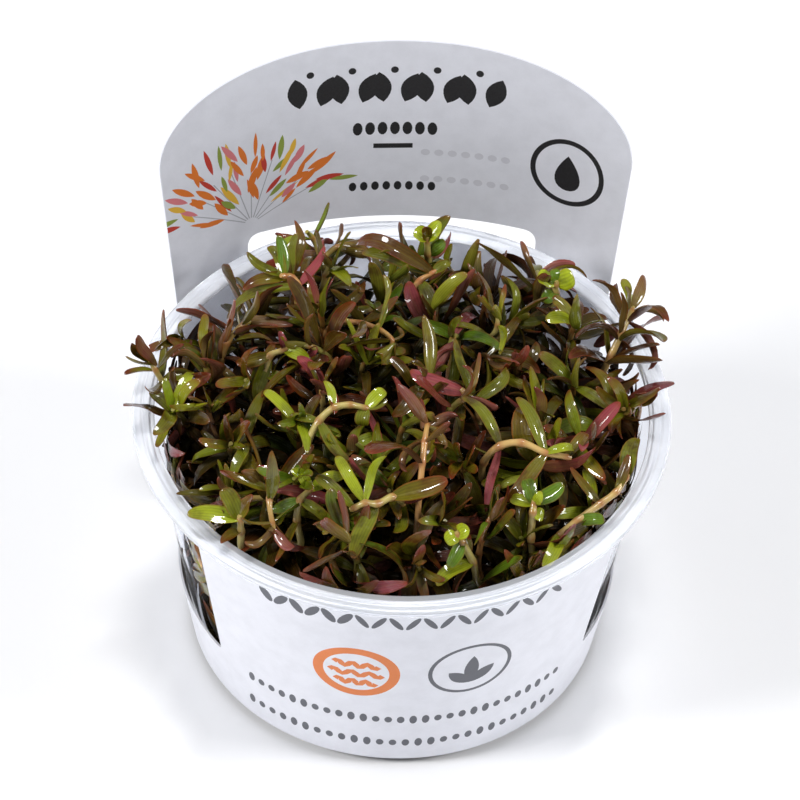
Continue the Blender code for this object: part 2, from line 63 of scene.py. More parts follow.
# Cup, gel and sleeve, as in the CAD model
CUP_HEIGHT = 57.0 * MM
WALL = 0.8 * MM
BASE_RADIUS = 37.2 * MM
BASE_CORNER = 2.2 * MM
FOOT_RADIUS = 39.4 * MM
SHOULDER_RADIUS = 46.3 * MM
SHOULDER_HEIGHT = 51.0 * MM
COLLAR_RADIUS = 47.1 * MM
COLLAR_HEIGHT = 52.6 * MM
FLANGE_RADIUS = 50.5 * MM
FLANGE_THICKNESS = 0.9 * MM
LIP_DROP = 1.6 * MM
LIP_THICKNESS = 0.7 * MM
GROOVE_RADIUS = 48.6 * MM
GROOVE_HALF_WIDTH = 0.45 * MM
GROOVE_DEPTH = 0.22 * MM
CUP_SIDES = 256
MILKY_DEPTH = 2.0 * MM
GEL_BOTTOM = WALL + CLEARANCE
GEL_TOP = 8.0 * MM
GEL_RADIUS = 37.4 * MM
GEL_RISE = 0.5 * MM
GEL_RISE_WIDTH = 2.4 * MM
GEL_SIDES = 128
SHEET = 0.4 * MM
SLEEVE_LOW = 2.0 * MM
SLEEVE_TOP = 53.6 * MM
SLEEVE_LOW_RADIUS = 39.95 * MM
SLEEVE_TOP_RADIUS = 47.75 * MM
BAND_TOP = 17.0 * MM
FRONT_HALF_ANGLE = math.radians(54.0)
BACK_HALF_ANGLE = math.radians(61.0)
FRONT_CORNER = 4.0 * MM
HEADER_DEPTH = 48.1 * MM
HEADER_LEAN = math.radians(6.0)
HEADER_BOW = 76.0 * MM
HEADER_BOW_GROWTH = 0.33
HEADER_HALF_WIDTH = 45.2 * MM
HEADER_FLARE = 0.08
HEADER_SHOULDER = 25.0 * MM
HEADER_TOP = 44.5 * MM
HEADER_ROUNDNESS = 2.25
SLOT_HALF_WIDTH = 28.8 * MM
SLOT_BOTTOM = -2.6 * MM
SLOT_TOP = 3.4 * MM
SLOT_CORNER = 2.7 * MM
FILLET_STEPS = 6

# Flat layout of the sleeve: across is the angle from +Y times this radius, up is the height
LAYOUT_RADIUS = 44.0 * MM
LAYOUT_START = math.radians(-95.0)
LAYOUT_STEP = 1.5 * MM
LAYOUT_GAP = 0.45 * MM
LAYOUT_TOLERANCE = 1e-7
SEAM_GAP = 0.01 * MM
WINDOW_CORNER = 1.5 * MM
DRIFT_ANGLE = math.radians(14.0)
HEADER_STEPS = 64
OVAL_STEPS = 14
RING_STEPS = 48
LANCET_STEPS = 8
LANCET_FULLNESS = 0.8
DROP_STEPS = 24
DROP_WIDTH = 0.42
PRINT_SEED = 5
INK_COLORS = {
    "card": (233, 234, 241),
    "ink_ghost": (214, 214, 221),
    "ink_grey": (84, 86, 94),
    "ink_black": (28, 27, 29),
    "ink_pale_grey": (176, 176, 182),
    "ink_orange": (228, 122, 42),
    "ink_red": (196, 62, 48),
    "ink_green": (142, 158, 66),
    "ink_yellow": (232, 182, 60),
    "ink_pink": (222, 128, 132),
}

# Camera fitted to the photograph
PHOTO_SIZE = 800.0
FOCAL_PIXELS = 3733.0
CAMERA_ELEVATION = math.radians(46.46)
CAMERA_AZIMUTH = math.radians(-4.3)
CAMERA_ROLL = math.radians(2.3)
CAMERA_DISTANCE = 700.0 * MM
CAMERA_TARGET = Vector((-0.298 * MM, 1.767 * MM, 56.96 * MM))
SENSOR_WIDTH = 36.0
CLIP_START = 0.01
CLIP_END = 20.0

# Growth of the shoots, as in the CAD model. Names of pairs of numbers are ranges. A name that
# ends in MM is in millimetres, one that ends in DEGREES in degrees, and all others in metres
# and radians.
SEED = 11
SHOOT_COUNT = 41
TIP_MIDDLE_Y = -2.0 * MM
TIP_REACH_X = 43.4 * MM
TIP_REACH_Y = 40.5 * MM
TIP_SCATTER = 1.5 * MM
TIP_HEIGHT = 67.0 * MM
TIP_FALL = 7.5 * MM
TIP_SLOPE = 0.09
TIP_UNEVEN = (-3.0 * MM, 2.5 * MM)
GOLDEN_ANGLE = math.pi * (3.0 - math.sqrt(5.0))
STRAY_TIPS = (
    (-47.0 * MM, 7.0 * MM, 63.0 * MM),
    (44.5 * MM, 17.0 * MM, 66.0 * MM),
    (-17.0 * MM, 34.0 * MM, 70.0 * MM),
)
STEM_RADIUS = 0.72 * MM
STEM_FACE_SHARE = 0.7
BASE_SHARE = 0.9
STRAY_BASE_SHARE = 0.62
STRAY_LEAF_SHARE = 0.75
BASE_SCATTER = 3.0 * MM
BASE_MARGIN = 3.0 * MM
SWAY = 9.0 * MM
HIGH_SWAY_SHARE = 0.8
KNEE_SHARE = 0.9
LOW_BEND_SHARE = 0.4
LOW_BEND_RISE = 0.42
HIGH_BEND_DROP = (0.08, 0.3)
ARCH_CHANCE = 0.25
ARCH_SWAY = 15.0 * MM
ARCH_RISE = 4.0 * MM
CURVE_STEPS = 48
STEM_TRIES = 60
FIRST_PAIR_RING = 2
BARE_RING_SHARE = 0.6
PAIRS = 5
PAIR_STEP = 4.6 * MM
PAIR_STEP_RANGE = (0.92, 1.1)
TOP_PAIR_BELOW_TIP = 2.2 * MM
LEAF_LENGTH = (9.5 * MM, 14.0 * MM)
LEAF_HALF_WIDTH = (1.25 * MM, 1.8 * MM)
LEAF_BASE_SHARE = 0.4
LEAF_TIP_RADIUS = 0.3 * MM
LEAF_TURN = 0.45
LEAF_OPENING = (math.radians(38.0), math.radians(92.0))
LEAF_CLOSING = math.radians(22.0)
LEAF_BEND = (-0.5, 1.5)
LEAF_SWEEP = 0.35
LEAF_TWIST = 0.9
LEAST_BEND = 0.01
SMALL_TOP_FROM = 0.6
SMALL_TOP_SHARE = 0.3
TOP_LEAF_RINGS = ((0.32, 1.0), (0.72, 0.8))
LOW_LEAF_RINGS = ((0.45, 1.1),)
TOP_PAIRS = 2
LEAF_TRIES = 26
BEAD_STEP = 1.4 * MM
BEAD_STEM_SHARE = 1.05
BASE_BEADS = 2
OWN_STEM_SHARE = 0.35
BEAD_CELL = 5.0 * MM  # wider than the reach of any two beads

# Painted shade: depth below the shoots' tips over which leaves and stems are painted darker, less where
# light comes in by the wall
PAINTED_SHADE_FROM = -5.0 * MM
PAINTED_SHADE_TO = 9.0 * MM
WALL_LIT_BELOW = 40.0 * MM
WALL_LIT_ABOVE = 50.0 * MM
WALL_LIT_FROM = 33.0 * MM
WALL_LIT_TO = 37.0 * MM
WALL_LIGHT = 0.9

# Detail of stems and leaf blades
LEAF_MATERIAL = 0
STEM_MATERIAL = 1
STEM_SIDES = 8
STEM_SPAN_STEPS = 8
STEM_LOW_STEPS = 24
STEM_TANGENT_SHARE = 1.0
STEM_TIP_SHARE = 0.6
NODE_SWELLING = 0.22
NODE_LENGTH = 0.7 * MM
BLADE_SHARES = (0.0, 0.06, 0.15, 0.27, 0.4, 0.53, 0.66, 0.78, 0.88, 0.95, 0.985)
BLADE_TOP = (-1.0, -0.78, -0.28, 0.0, 0.28, 0.78, 1.0)
BLADE_UNDER = (0.7, 0.2, -0.2, -0.7)
BLADE_THICKNESS = 0.3 * MM
MIDRIB_GROOVE = 0.13 * MM
MIDRIB_RIDGE = 0.16 * MM
BLADE_WIDEST = 0.42
BLADE_NECK = 0.34
BLADE_SWELL = 0.66
BLADE_EDGE = 0.45
BLADE_BODY = 0.55
BLADE_BODY_GROWTH = 1.4
BLADE_TIP_SINK = 0.4
MIDRIB_WIDTH = 0.17
MIDRIB_END = 1.4
CURL_FROM = 0.5
FOLD_FADE = 0.45
STEM_TAPER_FROM = 0.75
STEM_YOUNG_FROM = 0.7
WALL_ROOM = 0.3 * MM
WALL_EASE = 0.35 * MM
THIN_SHARE = 0.36
MIDDLE_RANK = 0.5
TRY_SHRINK = 0.35

# Leaves in the gaps
SPARE_RANKS = 12
SPARE_TRIES = 14
SPARE_STEP = 4.4 * MM
SPARE_LEAF = (0.9, 1.25)
SPARE_OPENING = (math.radians(35.0), math.radians(125.0))
SPARE_WIDTH = (0.72, 1.05)
SPARE_BEND = (-0.9, 2.0)
SPARE_SWEEP = 0.7
SPARE_TWIST = 1.6
SPARE_PLACE = (0.35, 0.65)
SPARE_LOW = 3.0 * MM

# Closed leaves at the tips
TUFT_PAIRS = 2
TUFT_LEAN = 0.75
TUFT_DROOP = 0.3
TUFT_DEPTH_MM = 1.6
TUFT_CLIMB_MM = 1.4
TUFT_OPENING_DEGREES = (8.0, 42.0)
TUFT_SHRINK = 0.5
TUFT_TURN = 0.5
TUFT_LENGTH_MM = (6.5, 11.0)
TUFT_WIDEST = 1.3 * MM
TUFT_SLENDERNESS = (0.13, 0.18)
TUFT_BEND = (-0.7, 1.3)
TUFT_TWIST = 1.2
TUFT_START_SHARE = 0.2

# Side shoots that climb the wall, with a share of the way and a distance for each bend
WALL_SHOOT_DEGREES = (-172.0, -158.0, -150.0, 155.0, 166.0, 176.0, -25.0, -14.0, -4.0, 8.0, 20.0)
WALL_SHOOT_GAP = 1.6 * MM
WALL_SHOOT_FOOT = 24.0 * MM
WALL_SHOOT_SPREAD_DEGREES = 2.0
WALL_SHOOT_DRIFT_MM = 5.0
WALL_SHOOT_LOW = (0.15, 5.0 * MM)
WALL_SHOOT_HIGH = (0.55, 1.0 * MM)
WALL_SHOOT_TOP = (44.0 * MM, 54.0 * MM)

# Leaves that lie flat on the wall
WALL_LEAF_LOW = 10.0 * MM
WALL_LEAF_HIGH = 55.0 * MM
WALL_FRONT_LOW = 36.0 * MM
WALL_SIDE_SHARE = 0.6
WALL_LEAF_BACK = 33.0 * MM
WALL_LEAF_STEP = 2.2 * MM
WALL_LEAF_TRIES = 6
WALL_ANGLE_HALVINGS = 24
WALL_LEAF_ROOM = 0.8 * MM
WALL_LEAF_GAPS = (0.8 * MM, 9.5 * MM)
WALL_LEAF_SLANT = (-1.2, 1.4)
WALL_LEAF_LENGTH_MM = (10.0, 15.0)
WALL_LEAF_WIDTH_MM = (1.3, 1.9)
WALL_LEAF_REACH = 0.6
WALL_LEAF_SWEEP = 0.4
WALL_LEAF_TWIST = 0.2
WALL_LEAF_LIFT_MM = 0.45
WALL_LAYER_STEP_MM = 0.4
WALL_LEAF_ENDS = (GEL_TOP + 2.0 * MM, CUP_HEIGHT + 3.0 * MM)
WALL_FREE_BEADS = 3
WALL_LAYERS = 3
WALL_THIN_SHARE = 0.62

# Room that stays free: corners of the gap behind the shoots, and the space before the header
OPENING = ((10.3 * MM, 35.3 * MM, 40.5 * MM), (16.7 * MM, 39.8 * MM, 60.0 * MM))
HEADER_FRONT = 28.0 * MM
HEADER_CLEAR = 65.0 * MM

# Side shoots from the stems, some of them arching
BRANCH_LEVELS = (0, 2)
ARCH_LEVEL = 3
ARCHED_SHARE = 0.6
ARCHED_BACK = 14.0 * MM
ARCHED_REACH = (10.0 * MM, 18.0 * MM)
ARCHED_LIFT = 3.0 * MM
ARCHED_OUT_MM = 2.0
ARCHED_RISE_MM = (9.0, 13.0)
ARCHED_CROWN_MM = (3.0, 7.0)
BRANCH_TRIES = 24
BRANCH_REACH = (3.0 * MM, 14.0 * MM)
BRANCH_TIP = (-7.0 * MM, 2.0 * MM)
BRANCH_CLIMB = 8.0 * MM
BRANCH_SWAY = 5.0 * MM
BRANCH_PAIRS = 3
BRANCH_STEP = 3.8 * MM
BRANCH_SHARE = 0.78
BRANCH_LEAF = (0.8, 1.1)
BRANCH_LEAF_TRIES = 16
BRANCH_FOOT_SHARE = 0.5
BRANCH_LOW_OUT = 0.35
BRANCH_LOW_UP = 0.2
BRANCH_HIGH_DROP = (0.1, 0.45)
BRANCH_TUFT = 0.85

# Shoots that are set by the photograph
SEEN_DROP = (5.0 * MM, 22.0 * MM)
SEEN_TIP_MM = 0.8
SEEN_TURN = 0.4
SEEN_FACING = -0.45
SEEN_TWIST = 0.5

# Stage: floor, sky, and each light's place, size and power
FLOOR_REACH = 3.0
FLOOR_DROP = 0.1 * MM
SKY_COLOR = (240, 244, 255)
SKY_STRENGTH = 0.25
LIGHTS_AIM = Vector((0.0, 0.0, 50.0 * MM))
LIGHTS = {
    "left": ((-0.9, -0.25, 0.7), 0.3, 8.3),
    "right": ((0.9, -0.25, 0.65), 0.3, 6.2),
    "top": ((0.05, 0.1, 1.1), 0.15, 4.0),
}

# Variety of stems and leaves
MAIN_STEM = 0.95
SEEN_STEM_YOUTH = 0.15
SHOOT_REDS = (0.05, 0.15, 0.25, 0.4, 0.6)
SHOOT_MOOD = (0.35, 1.0)
SHOOT_YOUTHS = (0.2, 0.5, 0.9)
STEM_MOOD = (0.0, 0.95)
STEM_YOUTH = (0.3, 1.0)
BRANCH_MOOD = (0.2, 0.9)
BRANCH_YOUTH = (0.1, 0.8)
LEAF_FOLD = (0.25, 1.1)
BACKWARD_CHANCE = 0.25
BACKWARD_FOLD = -0.5
BLUSH_SPREAD = 0.2
BLUSH_LIMITS = (0.1, 0.85)
PINK_CHANCE = 0.09
PINK_BLUSH = (0.8, 1.0)
YOUNG_FROM = 0.55
MOOD_SPREAD = 0.22
MOOD_FALL = 0.4
LEAF_CURL = (-0.6, 1.1)
LEAF_HOOK = 0.6
LEAF_BLUNTNESS = (2.0, 2.6, 3.2, 4.2, 5.5)
LEAF_WIDEN = (0.84, 1.12)
LEAF_WAVE = 0.16
LEAF_WAVE_COUNT = (6.0, 13.0)
LEAF_THICKNESS = (0.85, 1.25)

# Tints of leaves: how green, how young, how red
OLIVE = (0.55, 0.05, 0.12)
GREEN = (1.0, 0.15, 0.0)
FRESH = (0.85, 0.95, 0.0)
YELLOW = (0.75, 0.6, 0.1)
RUSTY = (0.4, 0.1, 0.5)
BROWN = (0.2, 0.0, 0.4)
PINK = (0.3, 0.0, 0.97)

# Shoots that stand out in the photograph. Each has its stem's mood, the pixels and heights in
# mm that its stem passes, and its leaves: the stem's point that they leave, the pixel and height
# of their tip, half width in mm, bend, and tint.
SEEN_SHOOTS = (
    (0.62, (
        (480, 484, 57), (484, 462, 63), (500, 446, 67), (522, 443, 68), (546, 453, 67), (567, 457, 66),
    ), (
        (6, (590, 431, 68), 1.5, 0.5, RUSTY),
        (5, (524, 395, 70), 1.5, 0.5, OLIVE),
        (5, (578, 446, 69), 0.8, 1.4, YELLOW),
        (3, (481, 502, 62), 1.0, -1.0, PINK),
        (5, (509, 503, 62), 1.3, 0.4, RUSTY),
        (3, (471, 395, 69), 1.4, 0.7, OLIVE),
    )),
    (0.7, ((292, 312, 60), (294, 298, 64), (298, 286, 67), (291, 277, 68), (284, 276, 69)), (
        (5, (273, 243, 73), 1.15, 0.6, OLIVE),
        (5, (283, 236, 74), 1.2, 0.4, GREEN),
        (4, (292, 232, 75), 1.2, 0.3, OLIVE),
        (4, (308, 223, 76), 1.3, 0.3, RUSTY),
        (5, (243, 258, 71), 1.2, -0.5, OLIVE),
        (4, (240, 283, 68), 1.3, 0.5, RUSTY),
        (3, (221, 300, 66), 1.4, 0.4, OLIVE),
        (3, (330, 251, 71), 1.1, 0.4, PINK),
    )),
    (0.75, ((414, 318, 61), (411, 297, 65), (420, 281, 67), (433, 273, 68)), (
        (4, (364, 243, 70), 1.6, 0.6, OLIVE),
        (4, (352, 229, 71), 1.5, 0.9, BROWN),
        (4, (452, 262, 70), 1.3, 0.6, OLIVE),
        (3, (440, 320, 64), 1.4, 0.9, OLIVE),
    )),
    (0.2, ((429, 266, 62), (428, 254, 65), (427, 240, 68)), (
        (3, (415, 229, 70), 1.7, 0.5, FRESH),
        (3, (442, 223, 71), 1.6, 0.4, FRESH),
        (3, (426, 226, 72), 1.1, 0.5, RUSTY),
        (2, (446, 243, 68), 1.4, 0.6, GREEN),
    )),
    (0.3, ((556, 305, 62), (556, 292, 66), (556, 284, 68)), (
        (3, (538, 274, 70), 1.9, 0.6, FRESH),
        (3, (574, 276, 70), 1.9, 0.6, FRESH),
        (3, (556, 269, 71), 1.6, 0.6, GREEN),
        (2, (545, 300, 67), 1.5, 0.7, GREEN),
    )),
    (0.4, ((243, 548, 52), (241, 531, 58), (240, 519, 61)), (
        (3, (187, 511, 61.5), 1.5, 0.5, YELLOW),
        (2, (220, 541, 60), 1.1, 0.4, RUSTY),
        (3, (226, 487, 66), 1.5, 0.4, OLIVE),
        (3, (252, 494, 66), 1.4, 0.6, RUSTY),
    )),
    (0.3, ((532, 562, 51), (531, 537, 57), (533, 512, 62), (534, 504, 63)), (
        (4, (526, 477, 66), 1.6, 0.5, GREEN),
        (4, (565, 488, 64), 1.5, 0.5, GREEN),
        (4, (513, 499, 62), 1.3, 0.9, YELLOW),
        (3, (546, 517, 61), 1.3, 0.9, FRESH),
        (4, (541, 495, 66), 1.1, 0.5, FRESH),
    )),
    (0.3, ((480, 584, 49), (473, 562, 55), (462, 542, 60), (458, 535, 61)), (
        (4, (445, 541, 61), 1.7, 0.8, FRESH),
        (4, (469, 529, 63), 1.6, 0.8, FRESH),
        (3, (448, 567, 58), 1.6, 0.6, GREEN),
        (2, (436, 577, 57), 1.4, 0.5, YELLOW),
        (1, (523, 561, 59), 1.8, 0.5, GREEN),
    )),
    (0.55, (
        (551, 548, 52), (560, 535, 56), (577, 521, 58), (600, 504, 59), (616, 492, 60), (626, 478, 61),
    ), (
        (3, (605, 518, 59), 1.2, 0.5, GREEN),
        (5, (628, 455, 63), 1.2, 0.7, RUSTY),
        (6, (633, 432, 64), 1.5, 0.4, OLIVE),
        (4, (572, 470, 63), 0.8, 1.2, RUSTY),
        (2, (546, 566, 57), 1.3, 0.7, YELLOW),
    )),
    (0.45, ((262, 402, 59), (266, 374, 64), (270, 356, 67), (284, 350, 68)), (
        (4, (311, 359, 68), 1.2, 0.6, YELLOW),
        (4, (279, 331, 71), 0.9, 0.5, PINK),
        (3, (252, 403, 62), 1.5, -0.5, OLIVE),
        (3, (237, 366, 66), 1.4, 0.8, RUSTY),
        (2, (292, 384, 65), 1.3, 0.7, OLIVE),
    )),
    (0.5, ((476, 442, 59), (479, 416, 64), (474, 402, 67), (464, 392, 68)), (
        (4, (409, 377, 69), 1.8, 0.5, PINK),
        (4, (450, 471, 62), 1.0, -0.7, RUSTY),
        (3, (515, 372, 69), 1.4, 0.5, OLIVE),
        (3, (448, 345, 71), 1.3, 0.6, OLIVE),
    )),
    (0.35, (
        (303, 462, 60), (307, 445, 64), (319, 421, 67), (334, 408, 69), (350, 405, 69), (366, 408, 68),
    ), (
        (6, (361, 427, 66), 1.4, 0.9, OLIVE),
        (6, (384, 388, 71), 1.4, 0.5, FRESH),
        (6, (388, 401, 69), 1.3, 0.7, OLIVE),
        (6, (386, 451, 64), 0.9, -0.3, PINK),
        (3, (287, 415, 67), 1.1, 0.4, OLIVE),
        (3, (342, 466, 64), 1.2, 0.6, OLIVE),
        (4, (329, 379, 72), 0.9, 0.3, YELLOW),
    )),
    (0.3, (
        (400, 515, 58), (402, 503, 62), (392, 497, 65), (377, 504, 65), (365, 503, 66), (354, 508, 65),
    ), (
        (3, (448, 484, 66), 1.8, 0.6, RUSTY),
        (4, (349, 557, 60), 1.8, 0.4, OLIVE),
        (2, (400, 537, 61), 1.5, -0.5, OLIVE),
        (5, (335, 452, 71), 1.2, 0.3, YELLOW),
        (5, (377, 449, 71), 1.0, 0.3, FRESH),
        (6, (318, 474, 67), 1.1, 0.6, OLIVE),
    )),
    (0.35, ((300, 545, 53), (297, 520, 59), (300, 500, 63), (310, 490, 64)), (
        (4, (345, 470, 66), 1.4, 0.5, YELLOW),
        (4, (296, 466, 68), 1.3, 0.6, FRESH),
        (3, (270, 512, 62), 1.4, 0.7, GREEN),
        (2, (281, 560, 59), 1.1, 0.4, RUSTY),
        (3, (330, 520, 61), 1.3, 0.8, OLIVE),
    )),
)


def srgb(red, green, blue):
    """A linear colour from its 0 to 255 values as seen on a screen."""
    linear = []
    for value in (red, green, blue):
        share = value / 255.0
        linear.append(share / 12.92 if share <= 0.04045 else ((share + 0.055) / 1.055) ** 2.4)
    return (*linear, 1.0)


class Signal:
    """A shader node's output. Arithmetic with signals and numbers adds Math nodes."""

    def __init__(self, node, output=0):
        self.tree = node.id_data
        self.socket = node.outputs[output]

    def __add__(self, other):
        return calc("ADD", self, other)

    def __sub__(self, other):
        return calc("SUBTRACT", self, other)

    def __rsub__(self, other):
        return calc("SUBTRACT", other, self)

    def __mul__(self, other):
        return calc("MULTIPLY", self, other)

    def __truediv__(self, other):
        return calc("DIVIDE", self, other)

    def __pow__(self, other):
        return calc("POWER", self, other)


def set_inputs(node, inputs):
    """Set a node's inputs to numbers, colours or signals."""
    for name, value in inputs.items():
        if isinstance(value, Signal):
            value.tree.links.new(value.socket, node.inputs[name])
        else:
            node.inputs[name].default_value = value


def add_node(tree, kind, inputs, **settings):
    """A new node with its settings and inputs."""
    node = tree.nodes.new(kind)
    for name, value in settings.items():
        setattr(node, name, value)
    set_inputs(node, inputs)
    return node


def calc(operation, *values):
    """The result of a Math node, from numbers and at least one signal."""
    tree = next(value.tree for value in values if isinstance(value, Signal))
    return Signal(add_node(tree, "ShaderNodeMath", dict(enumerate(values)), operation=operation))


def mix(share, one, two):
    """One colour mixed with a share of another."""
    node = add_node(share.tree, "ShaderNodeMix", {}, data_type="RGBA")
    set_inputs(node, {0: share, 6: one, 7: two})
    return Signal(node, 2)


def layered(tint, layers):
    """A colour with others laid over it in turn, each by its share and its 0 to 255 values."""
    for share, color in layers:
        tint = mix(share, tint, srgb(*color))
    return tint


def ramp(share, stops):
    """The colour of a ramp at a share, from stops with a place and 0 to 255 values."""
    node = add_node(share.tree, "ShaderNodeValToRGB", {"Fac": share})
    elements = node.color_ramp.elements
    while len(elements) < len(stops):
        elements.new(1.0)
    for element, (place, color) in zip(elements, stops):
        element.position = place
        element.color = srgb(*color)
    return Signal(node, "Color")


def rise(value, low, high):
    """0 below low, 1 over high, and a smooth step between them."""
    inputs = {"Value": value, "From Min": low, "From Max": high, "To Min": 0.0, "To Max": 1.0}
    return Signal(add_node(value.tree, "ShaderNodeMapRange", inputs, interpolation_type="SMOOTHSTEP"))


def noise(place, scale, detail=3.0, roughness=0.55):
    """The value of a noise texture."""
    inputs = {"Vector": place, "Scale": scale, "Detail": detail, "Roughness": roughness}
    return Signal(add_node(place.tree, "ShaderNodeTexNoise", inputs), "Fac")


def split(vector):
    """The three numbers of a vector."""
    node = add_node(vector.tree, "ShaderNodeSeparateXYZ", {"Vector": vector})
    return [Signal(node, axis) for axis in range(3)]


def attribute_parts(tree, name):
    """The three numbers of a vector attribute."""
    return split(Signal(add_node(tree, "ShaderNodeAttribute", {}, attribute_name=name), "Vector"))


def new_material(name, inputs):
    """A material, its Principled shader with some inputs set, and the place that it shades."""
    material = bpy.data.materials.new(name)
    material.use_nodes = True
    shader = material.node_tree.nodes["Principled BSDF"]
    set_inputs(shader, inputs)
    place = Signal(add_node(material.node_tree, "ShaderNodeTexCoord", {}), "Object")
    return material, shader, place


def dress(shader, tint, height, distance, strength):
    """Give a shader its colour, and a bump that is so many metres deep."""
    inputs = {"Height": height, "Distance": distance, "Strength": strength}
    bump = add_node(height.tree, "ShaderNodeBump", inputs)
    set_inputs(shader, {"Base Color": tint, "Normal": Signal(bump, "Normal")})


def plastic_material(name, clearness, roughness, index, relief):
    """Clear or slightly milky moulded plastic with faint rings, streaks and scuffs."""
    material, shader, place = new_material(name, {
        "Roughness": roughness,
        "IOR": index,
        "Transmission Weight": clearness,
    })
    x, y, z = split(place)
    wrapped = add_node(place.tree, "ShaderNodeCombineXYZ", {
        0: calc("SQRT", x * x + y * y) * 2600.0,
        1: calc("ARCTAN2", y, x) * 1.4,
        2: z * 700.0,
    })
    rings = noise(Signal(wrapped), 1.0, 2.0)
    scuffs = rise(noise(place, 900.0, 2.0, 0.7), 0.66, 0.74)
    cloudy = mix(noise(place, 90.0), srgb(240, 243, 250), srgb(252, 253, 255))
    tint = layered(cloudy, ((rings * 0.2, (222, 228, 240)), (scuffs * 0.5, (255, 255, 255))))
    dress(shader, tint, rings * 0.6 + scuffs * 0.5, relief, 0.6)
    return material


def card_material(name, color):
    """Smooth coated card, printed in one colour, with faint fibres and mottling."""
    material, shader, place = new_material(name, {
        "Roughness": 0.42,
        "Specular IOR Level": 0.35,
        "Sheen Weight": 0.05,
    })
    mottling = noise(place, 240.0, 4.0)
    fibres = noise(place, 2600.0, 2.0, 0.6)
    darker = (*(channel * 0.93 for channel in color[:3]), 1.0)
    tint = mix(rise(mottling, 0.3, 0.75), color, darker)
    dress(shader, layered(tint, ((fibres * 0.06, (150, 150, 155)),)), fibres + mottling, 0.03 * MM, 0.5)
    return material


def gel_material():
    """Wet, cloudy, amber nutrient gel."""
    material, shader, place = new_material("nutrient_gel", {
        "Roughness": 0.16,
        "IOR": 1.34,
        "Transmission Weight": 0.5,
        "Coat Weight": 0.5,
        "Coat Roughness": 0.05,
    })
    clouds = noise(place, 140.0, 4.0)
    tint = ramp(clouds, ((0.3, (92, 68, 34)), (0.55, (146, 118, 70)), (0.8, (176, 156, 108))))
    dress(shader, tint, noise(place, 420.0), 0.3 * MM, 0.5)
    return material


def painted_shade_share(place):
    """Share of painted shade: 0 at the shoots' tips and 1 deep down among them, less where light comes
    in by the wall.
    """
    x, y, z = split(place)
    by_wall = rise(calc("SQRT", x * x + y * y), WALL_LIT_FROM, WALL_LIT_TO)
    lit = by_wall * (1.0 - rise(z, WALL_LIT_BELOW, WALL_LIT_ABOVE))
    along_x = x / TIP_REACH_X
    along_y = (y - TIP_MIDDLE_Y) / TIP_REACH_Y
    share = calc("MINIMUM", along_x * along_x + along_y * along_y, 1.0)
    dome = share**1.5 * -TIP_FALL + TIP_HEIGHT + y * TIP_SLOPE
    return rise(dome - z, PAINTED_SHADE_FROM, PAINTED_SHADE_TO) * (1.0 - lit * WALL_LIGHT)


def leaf_material():
    """Wet leaves, by each leaf's own tint, with veins, darker patches, red margins and painted shade
    deep among the shoots.
    """
    material, shader, place = new_material("leaf", {
        "Roughness": 0.38,
        "IOR": 1.42,
        "Specular IOR Level": 0.2,
        "Coat Roughness": 0.06,
    })
    along, across, under = attribute_parts(place.tree, "leaf_place")
    mood, youth, blush = attribute_parts(place.tree, "leaf_tint")
    patches = noise(place, 210.0, 4.0, 0.6)
    grain = noise(place, 1500.0, 3.0, 0.6)
    edge = calc("ABSOLUTE", across)
    green = ramp(mood, (
        (0.0, (58, 38, 8)),
        (0.25, (84, 72, 12)),
        (0.5, (104, 108, 16)),
        (0.75, (132, 144, 24)),
        (1.0, (74, 114, 20)),
    ))
    dark_patches = rise(patches, 0.46, 0.7) * 0.75 * (1.0 - youth * 0.7)
    red = blush * (along**2.2 * 1.3 + 0.2 + patches * 0.3)
    pink = rise(blush, 0.78, 0.97)
    margin = calc("MAXIMUM", rise(edge, 0.78, 1.0), rise(along, 0.88, 1.0))
    veins = calc("SINE", across * 19.0 + (grain - 0.5) * 1.2) * 0.5 + 0.5
    midrib = 1.0 - rise(edge, 0.02, 0.13)
    deep = painted_shade_share(place)
    tint = layered(green, (
        (youth, (172, 186, 34)),
        (dark_patches, (42, 18, 5)),
        (calc("MINIMUM", red, 0.95), (112, 36, 16)),
        (pink * 0.75, (168, 74, 84)),
        (margin * (blush * 0.5 + 0.35), (140, 58, 24)),
        (under * (blush * 0.6 + 0.1), (138, 84, 76)),
        (veins * 0.22, (40, 30, 10)),
        (midrib * 0.12, (140, 134, 50)),
        # painted shade: near black deep among the shoots
        (deep * 0.85, (24, 18, 4)),
    ))
    # The coat is thinner where the shade is painted, so fewer reflections show there.
    set_inputs(shader, {"Coat Weight": deep * -0.7 + 0.8})
    dress(shader, tint, noise(place, 520.0, 2.0) * 3.0 + veins * 0.35 + grain * 0.4, 0.09 * MM, 0.8)
    return material


def stem_material():
    """Pale, juicy stems: cream to peach, greener when young, redder at the nodes, with painted shade
    deep among the shoots.
    """
    material, shader, place = new_material("stem", {
        "Roughness": 0.28,
        "IOR": 1.42,
        "Coat Weight": 0.5,
        "Coat Roughness": 0.08,
    })
    node = attribute_parts(place.tree, "leaf_place")[1]
    mood, youth = attribute_parts(place.tree, "leaf_tint")[:2]
    cream = ramp(mood, (
        (0.0, (160, 152, 70)),
        (0.45, (208, 188, 116)),
        (0.8, (208, 150, 92)),
        (1.0, (168, 82, 44)),
    ))
    tint = layered(cream, (
        (youth * 0.8, (128, 138, 42)),
        (rise(noise(place, 330.0, 4.0), 0.5, 0.75) * 0.4, (142, 84, 40)),
        (node * 0.6, (160, 76, 40)),
        # painted shade: stems deep among the shoots are darkened towards near black
        (painted_shade_share(place) * 0.8, (30, 20, 6)),
    ))
    streaks = add_node(place.tree, "ShaderNodeMapping", {"Vector": place, "Scale": (1.0, 1.0, 0.15)})
    dress(shader, tint, noise(Signal(streaks), 1800.0, 2.0), 0.08 * MM, 0.6)
    return material


